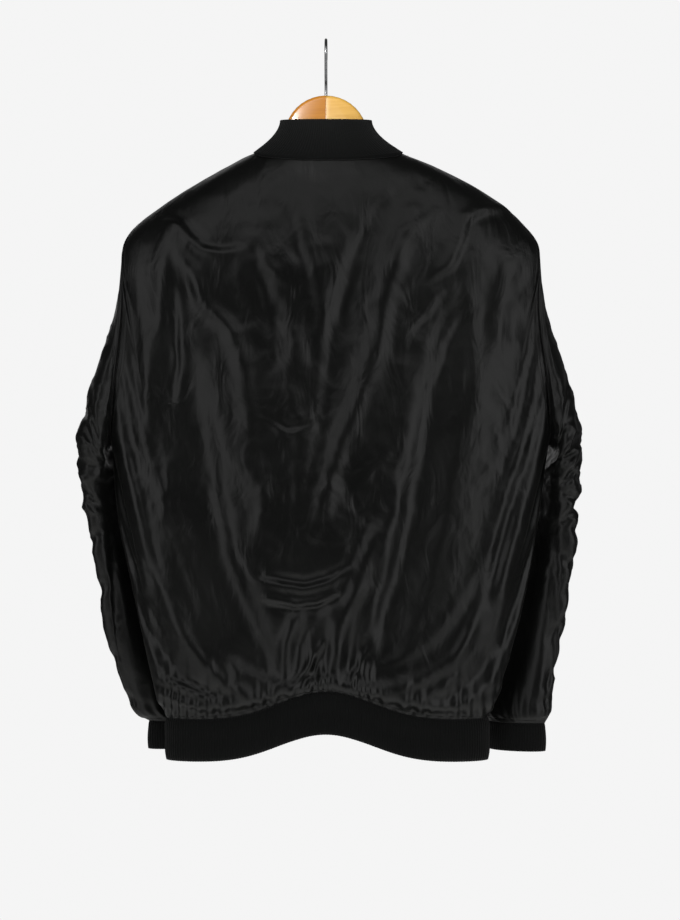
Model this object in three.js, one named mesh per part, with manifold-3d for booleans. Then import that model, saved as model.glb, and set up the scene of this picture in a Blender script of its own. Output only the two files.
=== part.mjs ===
// A bomber jacket of glossy nylon on a wooden hanger, zipped up and hung by the hanger's wire hook.
// Millimetres, +Z up. The origin is the inner top of the hook, where it hangs on a rail.
// The back of the jacket faces +Y and the zipped front faces -Y. The wearer's left is +X.
import * as THREE from "three";
import { mergeVertices } from "three/addons/utils/BufferGeometryUtils.js";
import Module from "manifold-3d";

// Cloth and seams
const WALL = 3;
const SEAM_GAP = 0.4;
const HALF_GAP = 0.2;
const SQUARENESS = 2.4;

// Places that the seams meet
const NECK_Z = -139;
const NECK_BACK_DROP = 10;
const NECK_FRONT_DROP = 76;
const SHOULDER_Z = -232;
const UNDERARM_Z = -505;
const ARMHOLE_DEPTH = 36;
const FRONT_EDGE_X = 6;

// Hem band
const HEM_SIDE_Z = -846;
const HEM_BACK_RISE = 37;
const HEM_FRONT_RISE = 27;
const HEM_RISE_WIDTH = 78;
const HEM_BAND_HEIGHT = 51;
const HEM_TUCK = 8;
const HEM_TUCK_REACH = 15;
const RIB_HEIGHT = 1.1;

// Gathers above the hem and above the cuffs
const GATHER_HEIGHT = 3.6;
const GATHER_REACH = 55;
const GATHER_START = 7;
const CUFF_GATHER = 2.4;

// Collar
const COLLAR_TOP_HALF_WIDTH = 57;
const COLLAR_TOP_BACK_Y = 38;
const COLLAR_TOP_FRONT_Y = -43;
const COLLAR_TOP_Z = -99;
const COLLAR_TOP_BACK_DIP = 4;
const COLLAR_TOP_FRONT_DROP = 66;
const COLLAR_FLARE = 1.8;
const COLLAR_GAP = 1.3;
const COLLAR_END_X = 1.5;

// Panel grids
const BACK_SHOULDER_COLUMNS = 15;
const BACK_NECK_COLUMNS = 18;
const FRONT_SHOULDER_COLUMNS = 15;
const FRONT_NECK_COLUMNS = 9;
const ARMHOLE_ROWS = 9;
const HEIGHTS_ABOVE_HEM = [341, 296, 250, 205, 160, 118, 82, 52, 28, 12, 0];
const SLEEVE_COLUMNS = 2 * ARMHOLE_ROWS;
const SLEEVE_STEPS = 23;
const COLLAR_COLUMNS = 8 * FRONT_NECK_COLUMNS;
const COLLAR_ROWS = 3;
const HEM_COLUMNS = 144;
const HEM_ROWS = 2;
const CUFF_COLUMNS = 36;
const CUFF_ROWS = 2;
const CUFF_HEIGHT = 35;
const CUFF_RIB_HEIGHT = 0.9;

// Level sections of the body: half widths to the wearer's left and right, and depths behind and in front.
const BODY = [
  { z: -125, left: 60, right: 62, back: 30, front: 26 },
  { z: -139, left: 87, right: 92, back: 43, front: 38 },
  { z: -156, left: 122, right: 134, back: 53, front: 46 },
  { z: -186, left: 174, right: 192, back: 61, front: 53 },
  { z: -216, left: 219, right: 234, back: 66, front: 58 },
  { z: -232, left: 238, right: 249, back: 68, front: 60 },
  { z: -262, left: 259, right: 272, back: 71, front: 63 },
  { z: -340, left: 269, right: 280, back: 76, front: 67 },
  { z: -430, left: 274, right: 287, back: 79, front: 70 },
  { z: -505, left: 268, right: 278, back: 80, front: 71 },
  { z: -600, left: 259, right: 263, back: 80, front: 70 },
  { z: -680, left: 240, right: 249, back: 77, front: 67 },
  { z: -756, left: 225, right: 232, back: 71, front: 62 },
  { z: -815, left: 213, right: 216, back: 63, front: 56 },
  { z: -850, left: 206, right: 209, back: 54, front: 49 },
  { z: -900, left: 203, right: 205, back: 50, front: 45 },
];

// Rings of each sleeve after the armhole: middle, half width across the sleeve (wide) and from front to
// back (deep), lean of the ring from level, and its turn about the upright towards the front.
const LEFT_SLEEVE = [
  { x: 261, y: 0, z: -389, wide: 119, deep: 40, lean: 94, turn: 0 },
  { x: 267.5, y: 0, z: -425, wide: 86, deep: 44, lean: 92, turn: 0 },
  { x: 278.5, y: 0, z: -457, wide: 58, deep: 47, lean: 83, turn: 0 },
  { x: 286.5, y: -2, z: -487, wide: 38, deep: 49, lean: 66, turn: 2 },
  { x: 289, y: -8, z: -516, wide: 30, deep: 50, lean: 41, turn: 8 },
  { x: 285, y: -18, z: -550, wide: 23, deep: 51, lean: 22, turn: 17 },
  { x: 276, y: -31, z: -590, wide: 22, deep: 57, lean: 10, turn: 20 },
  { x: 265, y: -43, z: -630, wide: 23, deep: 62, lean: 5, turn: 25 },
  { x: 253, y: -52, z: -680, wide: 25, deep: 62, lean: 3, turn: 31 },
  { x: 241, y: -58, z: -740, wide: 26, deep: 60, lean: 3, turn: 40 },
  { x: 224, y: -61, z: -790, wide: 26, deep: 56, lean: 3, turn: 50 },
  { x: 208, y: -60, z: -836, wide: 26, deep: 48, lean: 2, turn: 64 },
  { x: 191, y: -57, z: -854, wide: 18, deep: 37, lean: 0, turn: 68 },
];
const RIGHT_SLEEVE = [
  { x: 273, y: 0, z: -389, wide: 119, deep: 40, lean: 94, turn: 0 },
  { x: 280, y: 0, z: -425, wide: 86, deep: 44, lean: 92, turn: 0 },
  { x: 290, y: 0, z: -457, wide: 58, deep: 47, lean: 83, turn: 0 },
  { x: 297, y: -2, z: -487, wide: 39, deep: 49, lean: 66, turn: 2 },
  { x: 298.5, y: -8, z: -516, wide: 31, deep: 50, lean: 41, turn: 8 },
  { x: 295, y: -18, z: -550, wide: 25, deep: 51, lean: 22, turn: 17 },
  { x: 287.5, y: -31, z: -590, wide: 25, deep: 58, lean: 10, turn: 22 },
  { x: 281.5, y: -42, z: -630, wide: 27, deep: 62, lean: 5, turn: 28 },
  { x: 272.5, y: -46, z: -680, wide: 28, deep: 62, lean: 3, turn: 31 },
  { x: 261, y: -50, z: -740, wide: 28, deep: 60, lean: 3, turn: 38 },
  { x: 251, y: -49, z: -790, wide: 28, deep: 56, lean: 3, turn: 46 },
  { x: 242, y: -42, z: -836, wide: 27, deep: 48, lean: 2, turn: 56 },
  { x: 241.5, y: -34, z: -854, wide: 18, deep: 37, lean: 0, turn: 66 },
];

// Folds of the back and of the fronts, as ridges (+) and troughs (-) along a path of x and z.
const BACK_FOLDS = [
  { path: [[178, -285], [181, -420], [160, -455]], width: 16, depth: -5 },
  { path: [[160, -455], [152, -600], [138, -672], [118, -750], [84, -808]], width: 24, depth: -10 },
  { path: [[-135, -400], [-140, -450], [-124, -650], [-105, -725], [-80, -775]], width: 20, depth: -8 },
  { path: [[-110, -200], [-55, -250], [-30, -325], [-16, -450], [-5, -515]], width: 17, depth: -5 },
  { path: [[-100, -220], [-70, -300], [-45, -400], [-18, -485], [20, -610]], width: 14, depth: 6 },
  { path: [[200, -235], [205, -360], [222, -450]], width: 16, depth: 5 },
  { path: [[178, -245], [150, -310], [113, -375], [95, -480]], width: 15, depth: 5 },
  { path: [[-224, -262], [-205, -375], [-180, -435]], width: 16, depth: 5 },
  { path: [[-248, -485], [-217, -575], [-198, -700], [-180, -750]], width: 18, depth: 6 },
  { path: [[62, -692], [20, -684], [-24, -668]], width: 13, depth: -6 },
  { path: [[10, -700], [34, -800]], width: 12, depth: -5 },
  { path: [[-52, -768], [-32, -812]], width: 10, depth: -4 },
];
const FRONT_FOLDS = [
  { path: [[150, -260], [176, -400], [150, -520], [128, -700], [96, -800]], width: 22, depth: -8 },
  { path: [[-150, -260], [-172, -400], [-150, -540], [-120, -690], [-100, -800]], width: 22, depth: -8 },
  { path: [[105, -240], [80, -360], [70, -520], [60, -680]], width: 17, depth: 6 },
  { path: [[-105, -240], [-84, -350], [-66, -530], [-62, -690]], width: 17, depth: 6 },
  { path: [[200, -560], [182, -690], [160, -780]], width: 16, depth: 5 },
  { path: [[-204, -560], [-186, -690], [-160, -780]], width: 16, depth: 5 },
];
const FRONT_FOLD_FREE_X = 24;

// Zip
const TAPE_SETBACK = 4.3;
const TAPE_THICKNESS = 1;
const TAPE_INNER_X = 0.5;
const TAPE_OUTER_X = 14;
const SLIDER_Z = -228;
const SLIDER_WIDTH = 10;
const SLIDER_FOOT_WIDTH = 7.6;
const SLIDER_LENGTH = 11;
const SLIDER_DEPTH = 5;
const BRIDGE_WIDTH = 3;
const BRIDGE_LENGTH = 8.8;
const BRIDGE_HEIGHT = 4.4;
const BRIDGE_BAR = 1.4;
const PULL_BAR = 1.6;
const PULL_THICKNESS = 1.4;
const PULL_WIDTH = 8;
const PULL_LENGTH = 32;
const PULL_HOLE_WIDTH = 5;
const PULL_HOLE_LENGTH = 8.4;
const PULL_SEAT = 1.5;

// Hanger
const WOOD_THICKNESS = 14;
const ARCH_RADIUS = 52;
const ARCH_TOP_Z = -68;
const ARM_REACH = 212;
const ARM_HEIGHT_INNER = 34;
const ARM_HEIGHT_OUTER = 24;
const ARM_CLEARANCE = 6.6;
const JOINT_GAP = 0.2;
const WIRE_RADIUS = 1.8;
const WIRE_SIDES = 8;
const WIRE_STEPS = 30;
const HOOK_RADIUS = 18;
const STEM_DEPTH = 24;
const STEM_HOLE_RADIUS = 2.1;

const COLORS = {
  nylon: 0x1d1f1e,
  rib: 0x0d0f0f,
  tape: 0x141515,
  zipMetal: 0x3a3a3c,
  wood: 0xe3ae63,
  steel: 0xa7a9ab,
};

const wasm = await Module();
wasm.setup();

// Smooth value of one column of a table at z, through each row.
function columnAt(table, key, z) {
  const last = table.length - 1;
  if (z >= table[0].z) return table[0][key];
  if (z <= table[last].z) return table[last][key];
  let i = 0;
  while (z < table[i + 1].z) i += 1;
  const slope = (k) => {
    const a = Math.max(k - 1, 0);
    const b = Math.min(k + 1, last);
    return (table[b][key] - table[a][key]) / (table[b].z - table[a].z);
  };
  const span = table[i + 1].z - table[i].z;
  const t = (z - table[i].z) / span;
  const t2 = t * t;
  const t3 = t2 * t;
  return (
    (2 * t3 - 3 * t2 + 1) * table[i][key] +
    (t3 - 2 * t2 + t) * span * slope(i) +
    (3 * t2 - 2 * t3) * table[i + 1][key] +
    (t3 - t2) * span * slope(i + 1)
  );
}

const halfWidth = (side, z) => columnAt(BODY, side > 0 ? "left" : "right", z);
const bodyDepth = (face, z) => columnAt(BODY, face > 0 ? "back" : "front", z);
const bulge = (share) => (1 - Math.min(share, 1) ** SQUARENESS) ** (1 / SQUARENESS);
const clamp = (value, low, high) => Math.min(Math.max(value, low), high);

// Way round a section: 0 at the middle of the back or front, 1 at the side, even along the cloth.
const WAY_SAMPLES = 600;
const WAY_WIDTH = 255;
const WAY_DEPTH = 74;
const wayTable = [0];
const wayShares = [0];
for (let i = 1; i <= WAY_SAMPLES; i += 1) {
  const share = Math.sin((i / WAY_SAMPLES) * Math.PI * 0.5);
  const before = wayShares[i - 1];
  const run = (share - before) * WAY_WIDTH;
  const fall = (bulge(share) - bulge(before)) * WAY_DEPTH;
  wayShares.push(share);
  wayTable.push(wayTable[i - 1] + Math.hypot(run, fall));
}

function lookUp(keys, values, key) {
  if (key <= keys[0]) return values[0];
  let low = 0;
  let high = keys.length - 1;
  if (key >= keys[high]) return values[high];
  while (high - low > 1) {
    const middle = (low + high) >> 1;
    if (keys[middle] <= key) low = middle;
    else high = middle;
  }
  const t = (key - keys[low]) / (keys[high] - keys[low]);
  return values[low] + t * (values[high] - values[low]);
}

const wayLength = wayTable[WAY_SAMPLES];
const shareAt = (way) => Math.sign(way) * lookUp(wayTable, wayShares, Math.abs(way) * wayLength);
const wayAt = (share) => Math.sign(share) * (lookUp(wayShares, wayTable, Math.abs(share)) / wayLength);

// Point of the body at a way round and a height. face is 1 behind and -1 in front.
function bodyPoint(face, way, z) {
  const share = shareAt(clamp(way, -1, 1));
  const side = way < 0 ? -1 : 1;
  const x = share * halfWidth(side, z);
  return new THREE.Vector3(x, face * bodyDepth(face, z) * bulge(Math.abs(share)), z);
}

// Outward direction of the body's section surface at a point on it.
function bodyNormal(face, point) {
  const side = point.x < 0 ? -1 : 1;
  const step = 1;
  const width = halfWidth(side, point.z);
  const depth = bodyDepth(face, point.z);
  const widthSlope = (halfWidth(side, point.z + step) - halfWidth(side, point.z - step)) / (2 * step);
  const depthSlope = (bodyDepth(face, point.z + step) - bodyDepth(face, point.z - step)) / (2 * step);
  const across = Math.abs(point.x) / width;
  const along = Math.abs(point.y) / depth;
  return new THREE.Vector3(
    (Math.sign(point.x) * across ** (SQUARENESS - 1)) / width,
    (face * along ** (SQUARENESS - 1)) / depth,
    (-(across ** SQUARENESS) * widthSlope) / width - (along ** SQUARENESS * depthSlope) / depth,
  ).normalize();
}

// The hem arches up in the middle, where the hanging weight is carried by the collar.
const hemZ = (face, x) =>
  HEM_SIDE_Z + (face > 0 ? HEM_BACK_RISE : HEM_FRONT_RISE) * Math.exp(-((x / HEM_RISE_WIDTH) ** 2));
const ZIP_HEM_Z = HEM_SIDE_Z + HEM_FRONT_RISE;

// Way round at which the armhole's edge lies, at an angle from the shoulder (0) to the underarm (pi).
function armholeEdge(face, side, angle, shrink) {
  const middle = (SHOULDER_Z + UNDERARM_Z) / 2;
  const half = (SHOULDER_Z - UNDERARM_Z) / 2 - shrink;
  const z = middle + half * Math.cos(angle);
  const y = Math.max((ARMHOLE_DEPTH - shrink) * Math.sin(angle), 0);
  const share = (1 - (y / bodyDepth(face, z)) ** SQUARENESS) ** (1 / SQUARENESS);
  return { way: side * wayAt(share), z };
}

// Neckline: turn is 0 at the middle of the back, a quarter turn at the shoulder, a half turn in front.
function neckEdge(side, turn) {
  const face = turn <= Math.PI / 2 ? 1 : -1;
  const drop = face > 0 ? NECK_BACK_DROP : NECK_FRONT_DROP;
  const z = NECK_Z - drop * Math.abs(Math.cos(turn));
  const x = halfWidth(side, NECK_Z) * Math.sin(turn);
  return { face, way: side * wayAt(Math.min(x / halfWidth(side, z), 1)), z };
}

const frontTurn = (side, x = FRONT_EDGE_X) => Math.PI - Math.asin(x / halfWidth(side, NECK_Z));

// Distance from a point to a path in x and z, and how far along the path the nearest point lies.
function distanceToPath(path, x, z) {
  let best = Infinity;
  let along = 0;
  path.slice(1).forEach((b, i) => {
    const a = path[i];
    const dx = b[0] - a[0];
    const dz = b[1] - a[1];
    const t = clamp(((x - a[0]) * dx + (z - a[1]) * dz) / (dx * dx + dz * dz), 0, 1);
    const gap = Math.hypot(x - a[0] - t * dx, z - a[1] - t * dz);
    if (gap < best) {
      best = gap;
      along = (i + t) / (path.length - 1);
    }
  });
  return { gap: best, along };
}

function foldHeight(folds, x, z) {
  return folds.reduce((sum, fold) => {
    const { gap, along } = distanceToPath(fold.path, x, z);
    const taper = 0.35 + 0.65 * Math.sin(Math.PI * clamp(along, 0.05, 0.95));
    return sum + fold.depth * taper * Math.exp(-((gap / fold.width) ** 2));
  }, 0);
}

// A point of a body panel with its folds, hem tuck and gathers. column counts along the hem.
function panelPoint(face, way, z, column) {
  const point = bodyPoint(face, way, z);
  const normal = bodyNormal(face, point);
  const height = z - hemZ(face, point.x);
  const edge = clamp((1 - Math.abs(way)) / 0.12, 0, 1) * clamp(height / 40, 0, 1);
  let lift = -HEM_TUCK * Math.exp(-((height / HEM_TUCK_REACH) ** 2));
  if (face > 0) {
    lift += edge * foldHeight(BACK_FOLDS, point.x, z);
  } else {
    const near = clamp((Math.abs(point.x) - FRONT_EDGE_X) / FRONT_FOLD_FREE_X, 0, 1);
    lift += edge * near * foldHeight(FRONT_FOLDS, point.x, z);
  }
  if (column !== undefined) {
    const unevenness = 0.7 + 0.3 * Math.sin(column * 2.3 + face);
    const rise = clamp(height / GATHER_START, 0, 1);
    const sides = clamp((1 - Math.abs(way)) / 0.03, 0, 1);
    const zip = face > 0 ? 1 : clamp((Math.abs(point.x) - TAPE_OUTER_X - 6) / 14, 0, 1);
    const gather = GATHER_HEIGHT * unevenness * rise * sides * zip;
    lift += (column % 2 ? -1 : 1) * gather * Math.exp(-((height / (GATHER_REACH * unevenness)) ** 2));
  }
  return { point: point.addScaledVector(normal, lift), normal };
}

// One closed wall from a grid of outer points and the directions in which they face.
function wall(rows, closed, thickness = WALL) {
  const height = rows.length;
  const width = rows[0].length;
  const positions = [];
  rows.forEach((row) => row.forEach((cell) => positions.push(...cell.point.toArray())));
  rows.forEach((row) =>
    row.forEach((cell) => {
      const inner = cell.point.clone().addScaledVector(cell.normal, -(cell.thickness ?? thickness));
      positions.push(...inner.toArray());
    }),
  );
  const outer = (j, i) => j * width + (i % width);
  const inner = (j, i) => outer(j, i) + height * width;
  const index = [];
  const quad = (a, b, c, d) => index.push(a, b, c, a, c, d);
  const columns = closed ? width : width - 1;
  for (let j = 0; j < height - 1; j += 1) {
    for (let i = 0; i < columns; i += 1) {
      quad(outer(j, i), outer(j + 1, i), outer(j + 1, i + 1), outer(j, i + 1));
      quad(inner(j, i), inner(j, i + 1), inner(j + 1, i + 1), inner(j + 1, i));
    }
  }
  for (let i = 0; i < columns; i += 1) {
    quad(outer(0, i), outer(0, i + 1), inner(0, i + 1), inner(0, i));
    quad(outer(height - 1, i), inner(height - 1, i), inner(height - 1, i + 1), outer(height - 1, i + 1));
  }
  if (!closed) {
    for (let j = 0; j < height - 1; j += 1) {
      quad(outer(j, 0), inner(j, 0), inner(j + 1, 0), outer(j + 1, 0));
      quad(outer(j, width - 1), outer(j + 1, width - 1), inner(j + 1, width - 1), inner(j, width - 1));
    }
  }
  return facingOut(positions, index);
}

// Geometry from points and faces, turned so that its faces point outwards.
function facingOut(positions, index) {
  const corner = (i) => new THREE.Vector3().fromArray(positions, index[i] * 3);
  let volume = 0;
  for (let i = 0; i < index.length; i += 3) {
    volume += corner(i).dot(corner(i + 1).cross(corner(i + 2)));
  }
  if (volume < 0) {
    for (let i = 0; i < index.length; i += 3) {
      [index[i + 1], index[i + 2]] = [index[i + 2], index[i + 1]];
    }
  }
  const geometry = new THREE.BufferGeometry();
  geometry.setAttribute("position", new THREE.Float32BufferAttribute(positions, 3));
  geometry.setIndex(index);
  return geometry;
}

// Grid between four edges, each a function from 0 to 1 that gives a way round and a height.
function patch(top, bottom, first, last, us, vs) {
  const mix = (key, u, v) => {
    const across = (1 - v) * top(u)[key] + v * bottom(u)[key];
    const down = (1 - u) * first(v)[key] + u * last(v)[key];
    const corners =
      (1 - u) * (1 - v) * top(0)[key] +
      u * (1 - v) * top(1)[key] +
      (1 - u) * v * bottom(0)[key] +
      u * v * bottom(1)[key];
    return across + down - corners;
  };
  return vs.map((v) => us.map((u) => ({ way: mix("way", u, v), z: mix("z", u, v) })));
}

// Side edge of a panel, from the shoulder round the armhole and down the side seam.
const ROWS = ARMHOLE_ROWS + HEIGHTS_ABOVE_HEM.length - 1;
function sideEdge(face, side, v) {
  const row = v * ROWS;
  if (row <= ARMHOLE_ROWS) return armholeEdge(face, side, (row / ARMHOLE_ROWS) * Math.PI, 0);
  const at = row - ARMHOLE_ROWS;
  const i = Math.min(Math.floor(at), HEIGHTS_ABOVE_HEM.length - 2);
  const height = THREE.MathUtils.lerp(HEIGHTS_ABOVE_HEM[i], HEIGHTS_ABOVE_HEM[i + 1], at - i);
  const share = height / HEIGHTS_ABOVE_HEM[0];
  return { way: side, z: THREE.MathUtils.lerp(HEM_SIDE_Z, UNDERARM_Z, share) };
}

function shoulderEdge(side, t) {
  return { way: side, z: THREE.MathUtils.lerp(SHOULDER_Z, NECK_Z, t) };
}

function hemEdge(face, way) {
  const x = shareAt(way) * halfWidth(way < 0 ? -1 : 1, HEM_SIDE_Z);
  return { way, z: hemZ(face, x) };
}

function panelRows(face, grid) {
  return grid.map((row) =>
    row.map((cell, column) => {
      const made = panelPoint(face, cell.way, cell.z, column);
      made.point.y += face * HALF_GAP;
      return made;
    }),
  );
}

const steps = (count) => Array.from({ length: count + 1 }, (_, i) => i / count);

function backPanel() {
  const columns = 2 * BACK_SHOULDER_COLUMNS + BACK_NECK_COLUMNS;
  const shoulder = BACK_SHOULDER_COLUMNS / columns;
  const top = (u) => {
    if (u <= shoulder) return shoulderEdge(1, u / shoulder);
    if (u >= 1 - shoulder) return shoulderEdge(-1, (1 - u) / shoulder);
    const across = 1 - (2 * (u - shoulder)) / (1 - 2 * shoulder);
    return neckEdge(across < 0 ? -1 : 1, Math.abs(across) * (Math.PI / 2));
  };
  const grid = patch(
    top,
    (u) => hemEdge(1, 1 - 2 * u),
    (v) => sideEdge(1, 1, v),
    (v) => sideEdge(1, -1, v),
    steps(columns),
    steps(ROWS),
  );
  return wall(panelRows(1, grid), false);
}

function frontPanel(side) {
  const columns = FRONT_SHOULDER_COLUMNS + FRONT_NECK_COLUMNS;
  const shoulder = FRONT_SHOULDER_COLUMNS / columns;
  const neckEnd = frontTurn(side);
  const top = (u) => {
    if (u <= shoulder) return shoulderEdge(side, u / shoulder);
    const turn = Math.PI / 2 + ((u - shoulder) / (1 - shoulder)) * (neckEnd - Math.PI / 2);
    return neckEdge(side, turn);
  };
  const edgeWay = (z) => side * wayAt(FRONT_EDGE_X / halfWidth(side, z));
  const bottomEnd = edgeWay(ZIP_HEM_Z);
  const frontEdge = (v) => {
    const z = frontEdgeZ(v);
    return { way: edgeWay(z), z };
  };
  const grid = patch(
    top,
    (u) => hemEdge(-1, THREE.MathUtils.lerp(side, bottomEnd, u)),
    (v) => sideEdge(-1, side, v),
    frontEdge,
    steps(columns),
    steps(ROWS),
  );
  return wall(panelRows(-1, grid), false);
}

// Height of a row of the fronts at the zip, nearly level with the same row's side edge.
function frontEdgeZ(v) {
  const top = NECK_Z - NECK_FRONT_DROP * Math.abs(Math.cos(frontTurn(1)));
  const share = (SHOULDER_Z - sideEdge(-1, 1, v).z) / (SHOULDER_Z - HEM_SIDE_Z);
  return THREE.MathUtils.lerp(top, hemZ(-1, FRONT_EDGE_X), share);
}

const angleSteps = (count) => Array.from({ length: count }, (_, i) => (i / count) * Math.PI * 2);

// Smooth ring through a sleeve table at place t, with its two half axes.
function ringAt(rings, side, t) {
  const i = clamp(Math.floor(t), 0, rings.length - 2);
  const f = t - i;
  const pick = (key) => {
    const p = [i - 1, i, i + 1, i + 2].map((k) => rings[clamp(k, 0, rings.length - 1)][key]);
    const b = p[2] - p[0];
    const c = 2 * p[0] - 5 * p[1] + 4 * p[2] - p[3];
    const d = 3 * p[1] - p[0] - 3 * p[2] + p[3];
    return 0.5 * (2 * p[1] + b * f + c * f * f + d * f * f * f);
  };
  const lean = THREE.MathUtils.degToRad(pick("lean"));
  const turn = THREE.MathUtils.degToRad(pick("turn"));
  const level = Math.cos(lean);
  return {
    centre: new THREE.Vector3(side * pick("x"), pick("y"), pick("z")),
    across: new THREE.Vector3(side * level * Math.cos(turn), -level * Math.sin(turn), Math.sin(lean)),
    back: new THREE.Vector3(side * Math.sin(turn), Math.cos(turn), 0),
    wide: pick("wide"),
    deep: pick("deep"),
  };
}

// Creases of the sleeves: where along the sleeve, at what angle round it, how long, wide and deep.
const SLEEVE_CREASES = [
  { at: 3.4, turn: 0.9, reach: 1.0, width: 0.35, depth: -7 },
  { at: 4.3, turn: 0.2, reach: 1.2, width: 0.3, depth: -6 },
  { at: 5.0, turn: 1.4, reach: 1.3, width: 0.35, depth: -6 },
  { at: 5.7, turn: -0.4, reach: 1.2, width: 0.3, depth: -5 },
  { at: 6.4, turn: 0.9, reach: 1.0, width: 0.3, depth: -5 },
  { at: 4.6, turn: -1.7, reach: 1.2, width: 0.35, depth: -6 },
  { at: 6.0, turn: -2.2, reach: 1.2, width: 0.35, depth: -5 },
  { at: 9.2, turn: 0.6, reach: 1.1, width: 0.35, depth: -4 },
  { at: 10.0, turn: -1.2, reach: 1.3, width: 0.35, depth: -4 },
];

function creaseHeight(t, angle) {
  return SLEEVE_CREASES.reduce((sum, crease) => {
    const turn = Math.atan2(Math.sin(angle - crease.turn), Math.cos(angle - crease.turn));
    const along = (t - crease.at) / crease.width;
    const round = turn / crease.reach;
    return sum + crease.depth * Math.exp(-(along ** 2) - round ** 2);
  }, 0);
}

// Outer points of a sleeve, ring by ring. side is 1 for the wearer's left.
function sleevePoints(side) {
  const rings = side > 0 ? LEFT_SLEEVE : RIGHT_SLEEVE;
  const last = rings.length - 1;
  const angles = angleSteps(SLEEVE_COLUMNS);
  const rows = [
    angles.map((angle) => {
      const face = Math.sin(angle) >= 0 ? 1 : -1;
      const folded = Math.acos(Math.cos(angle));
      const edge = armholeEdge(face, side, folded, SEAM_GAP);
      const point = bodyPoint(face, edge.way, edge.z);
      point.x += side * HALF_GAP;
      return point;
    }),
  ];
  for (let k = 0; k < SLEEVE_STEPS; k += 1) {
    const t = (k / (SLEEVE_STEPS - 1)) * last;
    const ring = ringAt(rings, side, t);
    const end = last - t;
    const crease = clamp(t / 2, 0, 1) * clamp(end / 1.2, 0, 1);
    const gather = CUFF_GATHER * Math.exp(-(((end - 1) / 0.9) ** 2)) * clamp(end / 0.6, 0, 1);
    rows.push(
      angles.map((angle, i) => {
        const lift = crease * creaseHeight(t, angle) + (i % 2 ? -1 : 1) * gather;
        const reach = Math.hypot(ring.wide * Math.cos(angle), ring.deep * Math.sin(angle));
        const size = 1 + lift / reach;
        return ring.centre
          .clone()
          .addScaledVector(ring.across, ring.wide * Math.cos(angle) * size)
          .addScaledVector(ring.back, ring.deep * Math.sin(angle) * size);
      }),
    );
  }
  return rows;
}

// Directions that a closed tube of rings faces.
function tubeCells(rows, side) {
  return rows.map((row, j) =>
    row.map((point, i) => {
      const count = row.length;
      const round = row[(i + 1) % count].clone().sub(row[(i + count - 1) % count]);
      const down = rows[Math.min(j + 1, rows.length - 1)][i].clone().sub(rows[Math.max(j - 1, 0)][i]);
      const normal = new THREE.Vector3().crossVectors(round, down).normalize().multiplyScalar(side);
      return { point, normal };
    }),
  );
}

// The armhole seam faces as the body does, down to where the sleeve turns under the arm.
const SEAM_TURN_START = 1.9;
const SEAM_TURN_END = 2.6;

function sleeve(side) {
  const cells = tubeCells(sleevePoints(side), -side);
  angleSteps(SLEEVE_COLUMNS).forEach((angle, i) => {
    const face = Math.sin(angle) >= 0 ? 1 : -1;
    const folded = Math.acos(Math.cos(angle));
    const own = THREE.MathUtils.smoothstep(folded, SEAM_TURN_START, SEAM_TURN_END);
    const body = bodyNormal(face, cells[0][i].point);
    cells[0][i].normal.multiplyScalar(own).addScaledVector(body, 1 - own).normalize();
  });
  cells[cells.length - 1].forEach((cell) => cell.normal.setZ(0).normalize());
  return wall(cells, true);
}

// Cuff: goes on down from the sleeve's last ring, ribbed outside.
function cuff(side) {
  const rings = side > 0 ? LEFT_SLEEVE : RIGHT_SLEEVE;
  const { centre, across, back, wide, deep } = ringAt(rings, side, rings.length - 1);
  const rows = steps(CUFF_ROWS).map((t) =>
    angleSteps(CUFF_COLUMNS).map((angle, i) => {
      const size = 0.99 + 0.02 * Math.sin(Math.PI * t);
      const spoke = new THREE.Vector3()
        .addScaledVector(across, wide * Math.cos(angle) * size)
        .addScaledVector(back, deep * Math.sin(angle) * size);
      const facing = new THREE.Vector3()
        .addScaledVector(across, Math.cos(angle) / wide)
        .addScaledVector(back, Math.sin(angle) / deep)
        .normalize();
      const rib = (i % 2) * CUFF_RIB_HEIGHT;
      const point = centre.clone().add(spoke).addScaledVector(facing, rib);
      point.z = centre.z - SEAM_GAP - t * CUFF_HEIGHT;
      return { point, normal: facing, thickness: WALL + rib };
    }),
  );
  return wall(rows, true);
}

// Ribbed band round the hem, open in front where the zip runs.
function hemBand() {
  const end = wayAt(FRONT_EDGE_X / halfWidth(1, ZIP_HEM_Z));
  const ways = steps(HEM_COLUMNS).map((t) => {
    // 0 to 4 quarters: left front, left back, right back, right front
    const quarter = t * 4;
    if (quarter <= 1) return { face: -1, way: THREE.MathUtils.lerp(end, 1, quarter) };
    if (quarter <= 3) return { face: 1, way: 2 - quarter };
    return { face: -1, way: -THREE.MathUtils.lerp(1, end, quarter - 3) };
  });
  const rows = steps(HEM_ROWS).map((t) =>
    ways.map(({ face, way }, i) => {
      const edge = hemEdge(face, way);
      const top = panelPoint(face, way, edge.z);
      const facing = top.normal.clone().setZ(0).normalize();
      const rib = (i % 2) * RIB_HEIGHT;
      const swell = 2.5 * Math.sin(Math.PI * t);
      const point = top.point.clone().addScaledVector(facing, rib + swell);
      point.z -= SEAM_GAP + t * HEM_BAND_HEIGHT;
      return { point, normal: facing, thickness: WALL + rib };
    }),
  );
  return wall(rows, false);
}

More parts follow.
